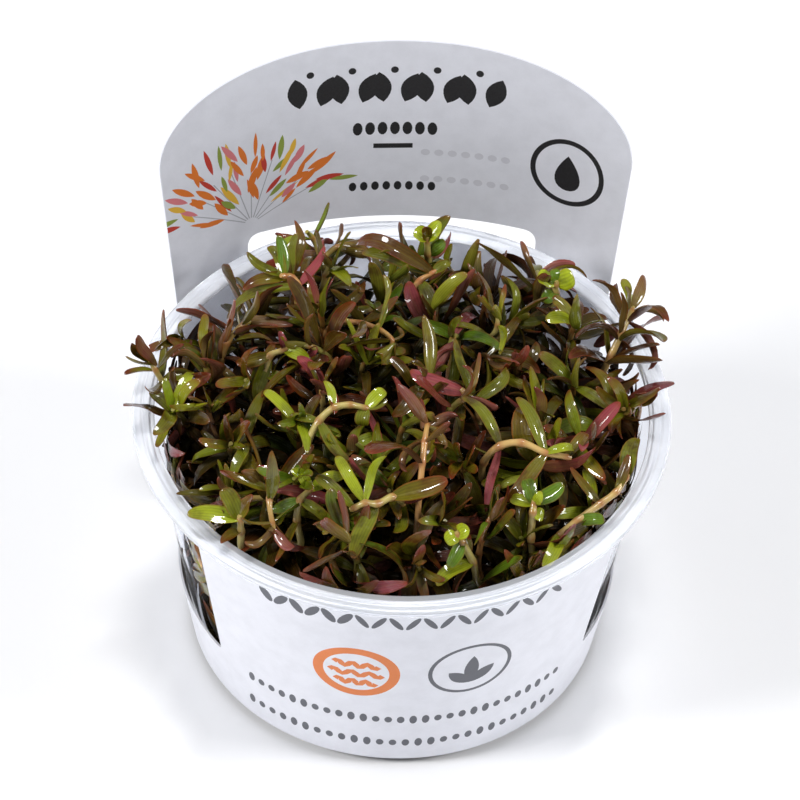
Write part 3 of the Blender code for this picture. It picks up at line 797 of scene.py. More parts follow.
def floor_material():
    """A plain pale matt table."""
    material, shader, place = new_material("pale_floor", {"Roughness": 0.8})
    tint = mix(noise(place, 30.0), srgb(253, 253, 254), srgb(255, 255, 255))
    set_inputs(shader, {"Base Color": tint})
    return material


def new_piece(name, points, faces, materials, node, smooth_degrees):
    """A mesh piece that rides with the part and stands for a CAD node."""
    mesh = bpy.data.meshes.new(name)
    mesh.from_pydata([tuple(point) for point in points], [], faces)
    for material in materials:
        mesh.materials.append(material)
    mesh.shade_smooth()
    mesh.set_sharp_from_angle(angle=math.radians(smooth_degrees))
    piece = bpy.data.objects.new(name, mesh)
    bpy.context.scene.collection.objects.link(piece)
    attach(piece, "root")
    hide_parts(node)
    return piece


def filleted(corners, closed=True):
    """A polygon's points, with each corner given as x, y and the length of its rounding."""
    points = []
    count = len(corners)
    for index, (x, y, fillet) in enumerate(corners):
        corner = Vector((x, y))
        ends = not closed and index in (0, count - 1)
        if fillet == 0.0 or ends:
            points.append(corner)
            continue
        before = (Vector(corners[index - 1][:2]) - corner).normalized() * fillet
        after = (Vector(corners[(index + 1) % count][:2]) - corner).normalized() * fillet
        for step in range(FILLET_STEPS + 1):
            share = step / FILLET_STEPS
            points.append(corner + before * (1.0 - share) ** 2 + after * share**2)
    return points


def turned(corners, sides):
    """Points and faces of a solid turned about z; its corners are radius, height and rounding."""
    points = []
    rings = []
    for radius, height in filleted(corners, closed=False):
        if radius == 0.0:
            rings.append([len(points)] * sides)
            points.append((0.0, 0.0, height))
            continue
        rings.append(list(range(len(points), len(points) + sides)))
        for side in range(sides):
            angle = math.tau * side / sides
            points.append((radius * math.cos(angle), radius * math.sin(angle), height))
    faces = []
    for ring, following in zip(rings, rings[1:]):
        for side in range(sides):
            after = (side + 1) % sides
            corners = [ring[side], ring[after], following[after], following[side]]
            face = list(dict.fromkeys(corners))
            if len(face) > 2:
                faces.append(face)
    return points, faces


def make_cup():
    """The cup with softly rounded edges and a shallow groove round its flange."""
    rim = CUP_HEIGHT
    points, faces = turned((
        (0.0, 0.0, 0.0),
        (BASE_RADIUS, 0.0, 1.2 * MM),
        (FOOT_RADIUS, BASE_CORNER, 1.2 * MM),
        (SHOULDER_RADIUS, SHOULDER_HEIGHT, 0.6 * MM),
        (COLLAR_RADIUS, COLLAR_HEIGHT, 0.6 * MM),
        (COLLAR_RADIUS, rim - FLANGE_THICKNESS, 0.5 * MM),
        (FLANGE_RADIUS - LIP_THICKNESS, rim - FLANGE_THICKNESS, 0.3 * MM),
        (FLANGE_RADIUS - LIP_THICKNESS, rim - LIP_DROP, 0.3 * MM),
        (FLANGE_RADIUS, rim - LIP_DROP, 0.3 * MM),
        (FLANGE_RADIUS, rim, 0.55 * MM),
        (GROOVE_RADIUS + GROOVE_HALF_WIDTH, rim, 0.15 * MM),
        (GROOVE_RADIUS, rim - GROOVE_DEPTH, 0.15 * MM),
        (GROOVE_RADIUS - GROOVE_HALF_WIDTH, rim, 0.15 * MM),
        (COLLAR_RADIUS - WALL, rim, 0.6 * MM),
        (COLLAR_RADIUS - WALL, COLLAR_HEIGHT, 0.6 * MM),
        (SHOULDER_RADIUS - WALL, SHOULDER_HEIGHT, 0.6 * MM),
        (FOOT_RADIUS - WALL, BASE_CORNER + WALL / 2.0, 1.0 * MM),
        (BASE_RADIUS - WALL / 2.0, WALL, 1.0 * MM),
        (0.0, WALL, 0.0),
    ), CUP_SIDES)
    # The wall is so thin that it hardly bends the light, unlike the flange
    materials = [plastic_material("clear_plastic", 1.0, 0.03, 1.008, 0.015 * MM),
                 plastic_material("milky_plastic", 0.62, 0.12, 1.49, 0.05 * MM)]
    piece = new_piece("clear_cup", points, faces, materials, "cup", 50.0)
    piece.visible_shadow = False
    for face in piece.data.polygons:
        on_flange = face.center.z > rim - MILKY_DEPTH and face.center.xy.length > COLLAR_RADIUS - WALL
        face.material_index = int(on_flange)


def inner_radius(height):
    """Radius of the cup's inner wall at a height."""
    if height >= SHOULDER_HEIGHT:
        return SHOULDER_RADIUS - WALL
    share = max(0.0, (height - BASE_CORNER) / (SHOULDER_HEIGHT - BASE_CORNER))
    return FOOT_RADIUS + (SHOULDER_RADIUS - FOOT_RADIUS) * share - WALL


def make_gel():
    """The slab of gel, its top drawn up a little at the wall."""
    gap = 2.0 * CLEARANCE
    points, faces = turned((
        (0.0, GEL_BOTTOM, 0.0),
        (BASE_RADIUS - WALL - gap, GEL_BOTTOM, 0.6 * MM),
        (GEL_RADIUS, BASE_CORNER + WALL, 0.6 * MM),
        (inner_radius(GEL_TOP) - gap, GEL_TOP, 0.3 * MM),
        (inner_radius(GEL_TOP) - GEL_RISE_WIDTH, GEL_TOP - GEL_RISE, 0.8 * MM),
        (0.0, GEL_TOP - GEL_RISE, 0.0),
    ), GEL_SIDES)
    new_piece("gel_slab", points, faces, [gel_material()], "nutrient_gel", 40.0)


def cone_point(angle, height):
    """Middle of the sleeve's sheet where it lies on the cup; angle is from +Y towards +X."""
    share = (height - SLEEVE_LOW) / (SLEEVE_TOP - SLEEVE_LOW)
    radius = SLEEVE_LOW_RADIUS + (SLEEVE_TOP_RADIUS - SLEEVE_LOW_RADIUS) * share
    return Vector((radius * math.sin(angle), radius * math.cos(angle), height))


def header_point(along, over_rim):
    """Middle of the header's sheet, by distance along the bow and height over the rim."""
    bow = HEADER_BOW + HEADER_BOW_GROWTH * over_rim
    turn = along / bow
    depth = HEADER_DEPTH + math.tan(HEADER_LEAN) * over_rim - bow * (1.0 - math.cos(turn))
    return Vector((bow * math.sin(turn), depth, CUP_HEIGHT + over_rim))


def header_half_width(over_rim):
    """Half the header's width along the sheet."""
    return HEADER_HALF_WIDTH + HEADER_FLARE * min(over_rim, HEADER_SHOULDER)


def back_point(share, height):
    """Middle of the back panel's sheet: it leaves the cup's cone and turns into the header."""
    over_rim = height - CUP_HEIGHT
    bowed = header_point(share * header_half_width(over_rim), over_rim)
    if height >= SLEEVE_TOP:
        return bowed
    climb = (height - BAND_TOP) / (SLEEVE_TOP - BAND_TOP)
    blend = climb * climb * (3.0 - 2.0 * climb)
    return cone_point(share * BACK_HALF_ANGLE, height).lerp(bowed, blend)


def sheet_point(across, height):
    """Middle of the card's sheet at a place of its flat layout."""
    angle = across / LAYOUT_RADIUS
    if height <= BAND_TOP:
        return cone_point(angle, height)
    past = abs(angle) - BACK_HALF_ANGLE
    if past <= 0.0:
        return back_point(angle / BACK_HALF_ANGLE, height)
    side = math.copysign(1.0, angle)
    if angle > math.pi:
        past = math.tau - angle - BACK_HALF_ANGLE
        side = -1.0
    drift = back_point(side, height) - cone_point(side * BACK_HALF_ANGLE, height)
    return cone_point(angle, height) + drift * max(0.0, 1.0 - past / DRIFT_ANGLE) ** 2


def on_header(point):
    """Place in the flat layout of a point given along the header and over the rim."""
    along, over_rim = point
    share = along / header_half_width(over_rim)
    return (share * BACK_HALF_ANGLE * LAYOUT_RADIUS, CUP_HEIGHT + over_rim)


def on_front(point):
    """Place in the flat layout of a point given to the right on the front panel and its height."""
    along, height = point
    radius = (cone_point(0.0, height) - UP * height).length
    return ((math.pi - along / radius) * LAYOUT_RADIUS, height)


def close_spaced(points, step):
    """A closed line's points, with more between them where they lie far apart."""
    spaced = []
    for index, point in enumerate(points):
        after = points[(index + 1) % len(points)]
        start = Vector(point)
        span = Vector(after) - start
        count = max(1, math.ceil(span.length / step))
        spaced.extend(start + span * (part / count) for part in range(count))
    return spaced


def sleeve_outline():
    """Outline of the card in its flat layout: low band, front panel, windows and header."""
    start = LAYOUT_START * LAYOUT_RADIUS
    end = start + math.tau * LAYOUT_RADIUS
    front = (math.pi - FRONT_HALF_ANGLE) * LAYOUT_RADIUS
    front_end = (math.pi + FRONT_HALF_ANGLE) * LAYOUT_RADIUS
    back = BACK_HALF_ANGLE * LAYOUT_RADIUS
    shoulder = CUP_HEIGHT + HEADER_SHOULDER
    outline = filleted((
        (start, SLEEVE_LOW, 0.0),
        (end, SLEEVE_LOW, 0.0),
        (end, BAND_TOP, 0.0),
        (front_end, BAND_TOP, WINDOW_CORNER),
        (front_end, SLEEVE_TOP, FRONT_CORNER),
        (front, SLEEVE_TOP, FRONT_CORNER),
        (front, BAND_TOP, WINDOW_CORNER),
        (back, BAND_TOP, WINDOW_CORNER),
        (back, shoulder, 0.0),
    ), closed=False)[:-1]
    power = 2.0 / HEADER_ROUNDNESS
    for step in range(HEADER_STEPS + 1):
        turn = math.pi * step / HEADER_STEPS
        share = math.copysign(abs(math.cos(turn)) ** power, math.cos(turn))
        lift = (HEADER_TOP - HEADER_SHOULDER) * math.sin(turn) ** power
        outline.append(Vector((back * share, shoulder + lift)))
    outline += filleted((
        (-back, shoulder, 0.0),
        (-back, BAND_TOP, WINDOW_CORNER),
        (start, BAND_TOP, 0.0),
    ), closed=False)[1:]
    return close_spaced(outline, LAYOUT_STEP)


def slot_outline():
    """Outline of the slot that the flange's back passes through."""
    corners = filleted((
        (-SLOT_HALF_WIDTH, SLOT_BOTTOM, SLOT_CORNER),
        (SLOT_HALF_WIDTH, SLOT_BOTTOM, SLOT_CORNER),
        (SLOT_HALF_WIDTH, SLOT_TOP, SLOT_CORNER),
        (-SLOT_HALF_WIDTH, SLOT_TOP, SLOT_CORNER),
    ))
    return close_spaced([Vector(on_header(point)) for point in corners], LAYOUT_STEP)


def mm(*values):
    """Lengths in metres, from millimetres."""
    return tuple(value * MM for value in values)


def oval(middle, width, height, tilt=0.0, steps=OVAL_STEPS):
    """Points of a tilted oval."""
    turn = Matrix.Rotation(tilt, 2)
    points = []
    for step in range(steps):
        angle = math.tau * step / steps
        flat = Vector((math.cos(angle) * width / 2.0, math.sin(angle) * height / 2.0))
        points.append(Vector(middle) + turn @ flat)
    return points


def oval_row(count, start, step, height, width, tall):
    """A row of upright ovals, by the first one's place, the step to the next and their size in mm."""
    return [oval(mm(start + step * number, height), *mm(width, tall)) for number in range(count)]


def ring_print(middle, outer, inner, ink):
    """A ring as two prints: a disc of ink, and a disc of bare card on it."""
    return [(oval(middle, size, size, steps=RING_STEPS), color)
            for size, color in ((outer, ink), (inner, "card"))]


def lancet(base, length, width, tilt):
    """Points of a pointed leaf shape that starts at its base; tilt is from straight up."""
    turn = Matrix.Rotation(-tilt, 2)
    right = []
    left = []
    for step in range(1, LANCET_STEPS):
        share = step / LANCET_STEPS
        reach = width / 2.0 * math.sin(math.pi * share) ** LANCET_FULLNESS
        right.append(Vector((reach, share * length)))
        left.append(Vector((-reach, share * length)))
    outline = [Vector((0.0, 0.0))] + right + [Vector((0.0, length))] + left[::-1]
    return [Vector(base) + turn @ point for point in outline]


def ribbon(spine, width):
    """Points of a line drawn with an even width."""
    left = []
    right = []
    for index, point in enumerate(spine):
        along = (spine[min(len(spine) - 1, index + 1)] - spine[max(0, index - 1)]).normalized()
        side = Vector((-along.y, along.x)) * width / 2.0
        left.append(point + side)
        right.append(point - side)
    return right + left[::-1]


def drop(middle, size):
    """Points of a drop that stands on its round end."""
    points = []
    for step in range(DROP_STEPS):
        angle = math.tau * step / DROP_STEPS
        narrow = math.sin(angle / 2.0)
        x = math.sin(angle) * narrow * size * DROP_WIDTH
        points.append(Vector(middle) + Vector((x, math.cos(angle) * size / 2.0)))
    return points


def header_prints():
    """Plain shapes printed on the header, as (points, ink) from the bottom layer up."""
    rng = random.Random(PRINT_SEED)

    # A row of leaves with dots over it, rows of ovals under it, and a dash between these
    shapes = [lancet(mm(-18.2 + 4.05 * number, 30.6), *mm(7.0, 3.9), math.radians(tilt))
              for number, tilt in enumerate((-8.0, 20.0) * 5)]
    shapes += oval_row(5, -16.2, 8.1, 38.0, 1.5, 1.5)
    shapes += oval_row(7, -6.9, 2.4, 24.4, 1.9, 3.0)
    shapes.append(ribbon([Vector(mm(-3.8, 20.3)), Vector(mm(3.8, 20.3))], 1.1 * MM))
    shapes += oval_row(8, -7.7, 2.2, 10.7, 1.5, 2.1)
    prints = [(shape, "ink_black") for shape in shapes]

    # A fan of fine coloured strokes in three arcs, with thin lines under it
    root = Vector(mm(-28.0, 6.0))
    for number in range(9):
        lean = math.radians(-60.0 + 15.0 * number)
        near = root + Vector((math.sin(lean), math.cos(lean))) * 1.5 * MM
        far = root + Vector((math.sin(lean) * 1.15, math.cos(lean))) * rng.uniform(8.0, 15.0) * MM
        spine = [near.lerp(far, share / 4.0) for share in range(5)]
        prints.append((ribbon(spine, 0.2 * MM), "ink_pale_grey"))
    inks = ("ink_orange", "ink_yellow", "ink_red", "ink_orange", "ink_pink", "ink_green", "ink_orange")
    for arc, (reach, count) in enumerate(((6.5, 15), (11.0, 21), (15.0, 23))):
        for number in range(count):
            lean = math.radians(-70.0 + 140.0 * (number + 0.5 * (arc % 2)) / count)
            out = Vector((math.sin(lean) * 1.08, math.cos(lean)))
            base = root + out * (reach + rng.uniform(-1.2, 1.2)) * MM
            length = rng.uniform(4.0, 6.8) * MM
            shape = lancet(base, length, rng.uniform(0.8, 1.5) * MM, lean + rng.uniform(-0.5, 0.5))
            prints.append((shape, inks[(number * 3 + arc) % len(inks)]))

    # A ring with a drop in it
    prints += ring_print(mm(34.3, 19.2), *mm(15.0, 12.9), "ink_black")
    prints.append((drop(mm(34.3, 19.0), 8.0 * MM), "ink_black"))
    return [([on_header(point) for point in points], ink) for points, ink in prints]


def header_back_prints():
    """Two rows of short dashes on the back of the header; they show through it faintly."""
    rows = oval_row(7, 6.3, 2.6, 18.8, 1.8, 1.5) + oval_row(7, 6.3, 2.6, 12.5, 1.8, 1.5)
    return [[on_header(point) for point in points] for points in rows]


def front_prints():
    """Plain shapes printed on the front panel, as (points, ink) from the bottom layer up."""
    prints = []

    # A border of small leaves along the top, bolder at its left
    for number in range(19):
        tilt = math.radians(58.0 if number % 2 else 122.0)
        width = 1.9 if number < 6 else 1.35
        prints.append((oval(mm(-27.8 + 3.1 * number, 50.2), *mm(4.6, width), tilt), "ink_grey"))

    # An orange ring with waves, and a thin grey ring with a leaf
    prints += ring_print(mm(-9.9, 32.4), *mm(16.4, 12.4), "ink_orange")
    for height, half in ((34.9, 4.2), (31.9, 5.0), (28.9, 3.8)):
        spine = [Vector(mm(-9.9 + half * (step / 8.0 - 1.0), height + 0.7 * math.sin(step * 1.18)))
                 for step in range(17)]
        prints.append((ribbon(spine, 1.3 * MM), "ink_orange"))
    prints += ring_print(mm(11.5, 32.4), *mm(16.2, 14.6), "ink_grey")
    for tilt, length in ((-42.0, 6.0), (4.0, 9.0), (46.0, 6.6)):
        prints.append((lancet(mm(11.3, 27.6), *mm(length, 2.8), math.radians(tilt)), "ink_grey"))

    # Two rows of upright ovals low down
    for height, count in ((16.4, 28), (8.0, 27)):
        for number in range(count):
            along = -31.4 + 63.0 * number / (count - 1.0)
            tall = (2.9, 2.1, 2.9, 2.1, 2.4)[number * 3 % 5]
            prints.append((oval(mm(along, height), *mm(1.45, tall)), "ink_grey"))
    return [([on_front(point) for point in points], ink) for points, ink in prints]


def inside_polygon(places, polygon):
    """Which of the places, an array of pairs, lie inside a closed polygon."""
    inside = np.zeros(len(places), dtype=bool)
    corners = np.array([tuple(point) for point in polygon])
    for start, end in zip(corners, np.roll(corners, -1, axis=0)):
        if start[1] == end[1]:
            continue
        spans = (start[1] > places[:, 1]) != (end[1] > places[:, 1])
        cross = start[0] + (places[:, 1] - start[1]) * (end[0] - start[0]) / (end[1] - start[1])
        inside ^= spans & (places[:, 0] < cross)
    return inside


def flat_triangles(outline, slot, loops):
    """Points and triangles of the flat card, from its loops and a fine grid between them."""
    places = []
    edges = []
    for loop in loops:
        first = len(places)
        count = len(loop)
        places.extend(Vector(point) for point in loop)
        edges.extend((first + index, first + (index + 1) % count) for index in range(count))
    near = KDTree(len(places))
    for index, place in enumerate(places):
        near.insert((place.x, place.y, 0.0), index)
    near.balance()
    corners = np.array([tuple(point) for point in outline])
    low, high = corners.min(axis=0), corners.max(axis=0)
    across = np.arange(low[0] + LAYOUT_STEP, high[0], LAYOUT_STEP)
    upward = np.arange(low[1] + LAYOUT_STEP, high[1], LAYOUT_STEP)
    grid = np.array([(x, y) for y in upward for x in across])
    for x, y in grid[inside_polygon(grid, outline) & ~inside_polygon(grid, slot)]:
        if near.find((x, y, 0.0))[2] > LAYOUT_GAP:
            places.append(Vector((x, y)))
    flat, _, triangles, *_ = delaunay_2d_cdt(places, edges, [], 0, LAYOUT_TOLERANCE)
    flat = np.array([tuple(point) for point in flat])
    triangles = np.array(triangles)
    middles = flat[triangles].mean(axis=1)
    return flat, triangles[inside_polygon(middles, outline) & ~inside_polygon(middles, slot)]


def ink_numbers(places, prints):
    """The number of the ink at each place; a later print lies over an earlier one."""
    names = list(INK_COLORS)
    numbers = np.zeros(len(places), dtype=int)
    for points, ink in prints:
        numbers[inside_polygon(places, points)] = names.index(ink)
    return numbers


def sheet_mesh(flat, triangles, outer_ink, inner_ink):
    """Points, faces and the faces' inks of the thick sheet, closed at the layout's two ends."""
    middle = bmesh.new()
    spots = [middle.verts.new(sheet_point(x, y)) for x, y in flat]
    number = middle.faces.layers.int.new("number")
    for index, triangle in enumerate(triangles):
        face = middle.faces.new([spots[corner] for corner in reversed(triangle)])
        face[number] = index
    bmesh.ops.remove_doubles(middle, verts=middle.verts, dist=SEAM_GAP)
    loose = [vert for vert in middle.verts if not vert.link_faces]
    bmesh.ops.delete(middle, geom=loose, context="VERTS")
    middle.normal_update()
    middle.verts.index_update()
    count = len(middle.verts)
    points = [vert.co + vert.normal * SHEET / 2.0 for vert in middle.verts]
    points += [vert.co - vert.normal * SHEET / 2.0 for vert in middle.verts]
    faces = []
    face_inks = []
    for face in middle.faces:
        corners = [vert.index for vert in face.verts]
        faces += [corners, [corner + count for corner in reversed(corners)]]
        face_inks += [int(outer_ink[face[number]]), int(inner_ink[face[number]])]
    for edge in middle.edges:
        if len(edge.link_loops) == 1:
            start = edge.link_loops[0].vert.index
            end = edge.link_loops[0].link_loop_next.vert.index
            faces.append([end, start, start + count, end + count])
            face_inks.append(0)
    middle.free()
    return points, faces, face_inks


def make_sleeve():
    """The card sleeve, one sheet with its prints as separate faces."""
    outline = sleeve_outline()
    slot = slot_outline()
    inner_prints = header_prints()
    ghosts = header_back_prints()
    outer_prints = front_prints()
    loops = [outline, slot, *(points for points, _ in inner_prints), *ghosts]
    loops += [points for points, _ in outer_prints]
    flat, triangles = flat_triangles(outline, slot, loops)
    middles = flat[triangles].mean(axis=1)
    outer_ink = ink_numbers(middles, [(points, "ink_grey") for points in ghosts] + outer_prints)
    inner_ink = ink_numbers(middles, [(points, "ink_ghost") for points in ghosts] + inner_prints)
    points, faces, face_inks = sheet_mesh(flat, triangles, outer_ink, inner_ink)
    materials = [card_material(name, srgb(*color)) for name, color in INK_COLORS.items()]
    piece = new_piece("card_sleeve", points, faces, materials, "label_sleeve", 40.0)
    piece.data.polygons.foreach_set("material_index", face_inks)


class Beads:
    """Round beads strung along everything that has grown, kept in cells to be found quickly."""

    def __init__(self):
        self.cells = {}

    def cell(self, place):
        """The cell that a place lies in."""
        return tuple(math.floor(value / BEAD_CELL) for value in place)

    def free(self, beads, owner=None):
        """Whether new beads clear the grown ones, apart from the stem that owns them."""
        for place, radius, share in beads:
            x, y, z = self.cell(place)
            for i in (x - 1, x, x + 1):
                for j in (y - 1, y, y + 1):
                    for k in (z - 1, z, z + 1):
                        for other, other_radius, other_owner in self.cells.get((i, j, k), ()):
                            if other_owner == owner and share < OWN_STEM_SHARE:
                                continue
                            reach = radius + other_radius + CLEARANCE
                            if (place - other).length_squared < reach * reach:
                                return False
        return True

    def add(self, beads, owner=None):
        """Count beads as grown; owner marks a stem's own beads."""
        for place, radius, _ in beads:
            self.cells.setdefault(self.cell(place), []).append((place, radius, owner))


def string_beads(places, radii):
    """Beads at even steps along a chain of straight pieces: place, radius, share of length."""
    lengths = [(after - before).length for before, after in zip(places, places[1:])]
    total = sum(lengths)
    beads = []
    passed = 0.0
    for piece, length in enumerate(lengths):
        count = max(1, math.ceil(length / BEAD_STEP))
        for step in range(1, count + 1):
            part = step / count
            place = places[piece].lerp(places[piece + 1], part)
            radius = radii[piece] + (radii[piece + 1] - radii[piece]) * part
            beads.append((place, radius, (passed + part * length) / total))
        passed += length
    return beads


def inside_room(beads):
    """Whether beads stay in the cup, over its flange and in front of the header."""
    for place, radius, _ in beads:
        if place.z < GEL_TOP + CLEARANCE + radius:
            return False
        if place.z < CUP_HEIGHT + radius + CLEARANCE:
            if math.hypot(place.x, place.y) > inner_radius(place.z) - radius - CLEARANCE:
                return False
        over_rim = place.z - CUP_HEIGHT
        if over_rim > 0.0 and place.y > 0.0:
            bow = HEADER_BOW + HEADER_BOW_GROWTH * over_rim
            middle = HEADER_DEPTH + math.tan(HEADER_LEAN) * over_rim - bow
            if math.hypot(place.x, place.y - middle) > bow - SHEET - radius - CLEARANCE:
                return False
    return True


def curve_point(controls, share):
    """Point and direction of a cubic curve through four control points."""
    rest = 1.0 - share
    one, two, three, four = controls
    place = rest**3 * one + 3.0 * rest**2 * share * two + 3.0 * rest * share**2 * three
    place = place + share**3 * four
    along = rest**2 * (two - one) + 2.0 * rest * share * (three - two) + share**2 * (four - three)
    return place, along.normalized()


def level_offset(rng, reach):
    """A random step to the side, up to a reach along x and along y."""
    return Vector((rng.uniform(-reach, reach), rng.uniform(-reach, reach), 0.0))


def spun(direction, angle, axis):
    """A direction turned by an angle about an axis."""
    return Matrix.Rotation(angle, 3, axis) @ direction


def squared(side, along):
    """A side direction made square to another direction."""
    return (side - along * side.dot(along)).normalized()


def level_out(place):
    """The level direction from the cup's axis to a place."""
    return Vector((place.x, place.y, 0.0)).normalized()


def opened(outward, along, opening):
    """Direction and normal of a leaf that leaves its stem's direction by an angle."""
    direction = outward * math.sin(opening) + along * math.cos(opening)
    return direction, along * math.sin(opening) - outward * math.cos(opening)


def stem_controls(rng, tip, base_share):
    """Control points of a stem that rises from the gel and wanders to its tip."""
    base = Vector((tip.x * base_share, tip.y * base_share, 0.0))
    base += level_offset(rng, BASE_SCATTER)
    limit = inner_radius(GEL_TOP) - BASE_MARGIN
    if base.length > limit:
        base *= limit / base.length
    base.z = GEL_TOP + CLEARANCE
    rise_height = tip.z - base.z
    knee = Vector((tip.x * KNEE_SHARE, tip.y * KNEE_SHARE, base.z))
    low = base.lerp(knee, LOW_BEND_SHARE) + level_offset(rng, SWAY) + UP * rise_height * LOW_BEND_RISE
    if rng.random() < ARCH_CHANCE:
        high = knee + level_offset(rng, ARCH_SWAY)
        high.z = tip.z + ARCH_RISE
    else:
        high = knee + level_offset(rng, SWAY * HIGH_SWAY_SHARE)
        high.z = tip.z - rise_height * rng.uniform(*HIGH_BEND_DROP)
    return base, low, high, tip


def ringed_curve(rng, controls, pairs, pair_step):
    """Places and frames of a stem: base, one between, the leaf pairs, and the tip."""
    samples = [curve_point(controls, step / CURVE_STEPS) for step in range(CURVE_STEPS + 1)]
    lengths = [0.0]
    for before, after in zip(samples, samples[1:]):
        lengths.append(lengths[-1] + (after[0] - before[0]).length)
    top_pair = lengths[-1] - TOP_PAIR_BELOW_TIP
    wanted = [top_pair - pair_step * pair * rng.uniform(*PAIR_STEP_RANGE)
              for pair in range(pairs)]
    side = spun(Vector((1.0, 0.0, 0.0)), rng.uniform(0.0, math.tau), "Z")
    frames = []
    for place, along in samples:
        side = squared(side, along)
        frames.append((place, along, side))

    def frame_at(length):
        """The place and frame at a length along the stem."""
        nearest = min(range(CURVE_STEPS + 1), key=lambda step: abs(lengths[step] - length))
        return frames[nearest]

    bare = (top_pair - pair_step * pairs) * BARE_RING_SHARE
    rings = [frames[0], frame_at(bare)] + [frame_at(length) for length in reversed(wanted)]
    return {"rings": rings, "tip": frames[-1][0]}


def stem_beads(stem, size):
    """Beads along a stem, by its size against a full stem."""
    places = [ring[0] for ring in stem["rings"]] + [stem["tip"]]
    return string_beads(places, [STEM_RADIUS * size] * len(places))


def leaf_plan(rng, ring, face, pair, leaf_share):
    """A leaf's shape: where it starts, how it points, bends and twists."""
    place, along, side = ring
    rank = pair / (PAIRS - 1.0)
    outward = spun(spun(side, face * math.pi / 2.0, along), rng.uniform(-LEAF_TURN, LEAF_TURN), along)
    direction, normal = opened(outward, along, rng.uniform(*LEAF_OPENING) - LEAF_CLOSING * rank)
    size = rng.uniform(0.0, 1.0)
    length = LEAF_LENGTH[0] + (LEAF_LENGTH[1] - LEAF_LENGTH[0]) * size
    half_width = LEAF_HALF_WIDTH[0] + (LEAF_HALF_WIDTH[1] - LEAF_HALF_WIDTH[0]) * size
    shrink = 1.0 - SMALL_TOP_SHARE * max(0.0, rank - SMALL_TOP_FROM) / (1.0 - SMALL_TOP_FROM)
    shrink *= leaf_share
    return {
        "start": place + outward * STEM_RADIUS * STEM_FACE_SHARE,
        "direction": direction,
        "normal": normal,
        "length": length * shrink,
        "half_width": half_width * shrink,
        "rings": TOP_LEAF_RINGS if pair >= PAIRS - TOP_PAIRS else LOW_LEAF_RINGS,
        "bend": rng.uniform(*LEAF_BEND),
        "sweep": rng.uniform(-LEAF_SWEEP, LEAF_SWEEP),
        "twist": rng.uniform(-LEAF_TWIST, LEAF_TWIST),
    }


def leaf_frame(leaf, share):
    """Point, side direction and normal of a leaf at a share of its length."""
    bend = leaf["bend"] if abs(leaf["bend"]) > LEAST_BEND else LEAST_BEND
    turn = bend * share
    across = leaf["normal"].cross(leaf["direction"])
    travel = leaf["direction"] * (math.sin(turn) / bend)
    travel = travel - leaf["normal"] * ((1.0 - math.cos(turn)) / bend)
    travel = travel + across * (leaf["sweep"] * share * share / 2.0)
    normal = leaf["normal"] * math.cos(turn) + leaf["direction"] * math.sin(turn)
    twist = leaf["twist"] * share
    side = across * math.cos(twist) + normal * math.sin(twist)
    facing = normal * math.cos(twist) - across * math.sin(twist)
    return leaf["start"] + travel * leaf["length"], side, facing


def leaf_beads(leaf):
    """Beads along a leaf's spine, as wide as the leaf."""
    places = [leaf["start"]]
    radii = [leaf["half_width"] * LEAF_BASE_SHARE]
    for share, width in leaf["rings"]:
        places.append(leaf_frame(leaf, share)[0])
        radii.append(leaf["half_width"] * width)
    places.append(leaf_frame(leaf, 1.0)[0])
    radii.append(LEAF_TIP_RADIUS)
    return string_beads(places, radii)


def tip_places():
    """Tips spread like seeds in a sunflower, then the strays."""
    rng = random.Random(SEED)
    tips = []
    for number in range(SHOOT_COUNT):
        share = math.sqrt((number + 0.5) / SHOOT_COUNT)
        angle = number * GOLDEN_ANGLE
        tip = level_offset(rng, TIP_SCATTER)
        tip.x += TIP_REACH_X * share * math.cos(angle)
        tip.y += TIP_REACH_Y * share * math.sin(angle) + TIP_MIDDLE_Y
        limit = COLLAR_RADIUS - 2.0 * (WALL + STEM_RADIUS)
        if tip.length > limit:
            tip *= limit / tip.length
        tip.z = TIP_HEIGHT - TIP_FALL * share**3 + TIP_SLOPE * tip.y + rng.uniform(*TIP_UNEVEN)
        tips.append((tip, BASE_SHARE, 1.0))
    for place in STRAY_TIPS:
        tips.append((Vector(place), STRAY_BASE_SHARE, STRAY_LEAF_SHARE))
    return tips


def grow_shoots():
    """Plan every shoot: first all stems, then the leaves from the highest pair down."""
    rng = random.Random(SEED + 1)
    grown = Beads()
    stems = []
    for tip, base_share, leaf_share in tip_places():
        for _ in range(STEM_TRIES):
            stem = ringed_curve(rng, stem_controls(rng, tip, base_share), PAIRS, PAIR_STEP)
            beads = stem_beads(stem, BEAD_STEM_SHARE)
            if inside_room(beads[BASE_BEADS:]) and grown.free(beads):
                grown.add(beads, len(stems))
                stem["leaf_share"] = leaf_share
                stem["leaves"] = {}
                stem["path"] = stem_path(stem)
                stems.append(stem)
                break
    for pair in reversed(range(PAIRS)):
        for number, stem in enumerate(stems):
            ring = stem["rings"][FIRST_PAIR_RING + pair]
            for face in (pair % 2, pair % 2 + 2):
                for _ in range(LEAF_TRIES):
                    leaf = leaf_plan(rng, ring, face, pair, stem["leaf_share"])
                    beads = leaf_beads(leaf)
                    if inside_room(beads) and grown.free(beads, number):
                        grown.add(beads)
                        leaf["rank"] = pair / (PAIRS - 1.0)
                        stem["leaves"][(pair, face)] = leaf
                        break
    return stems, grown


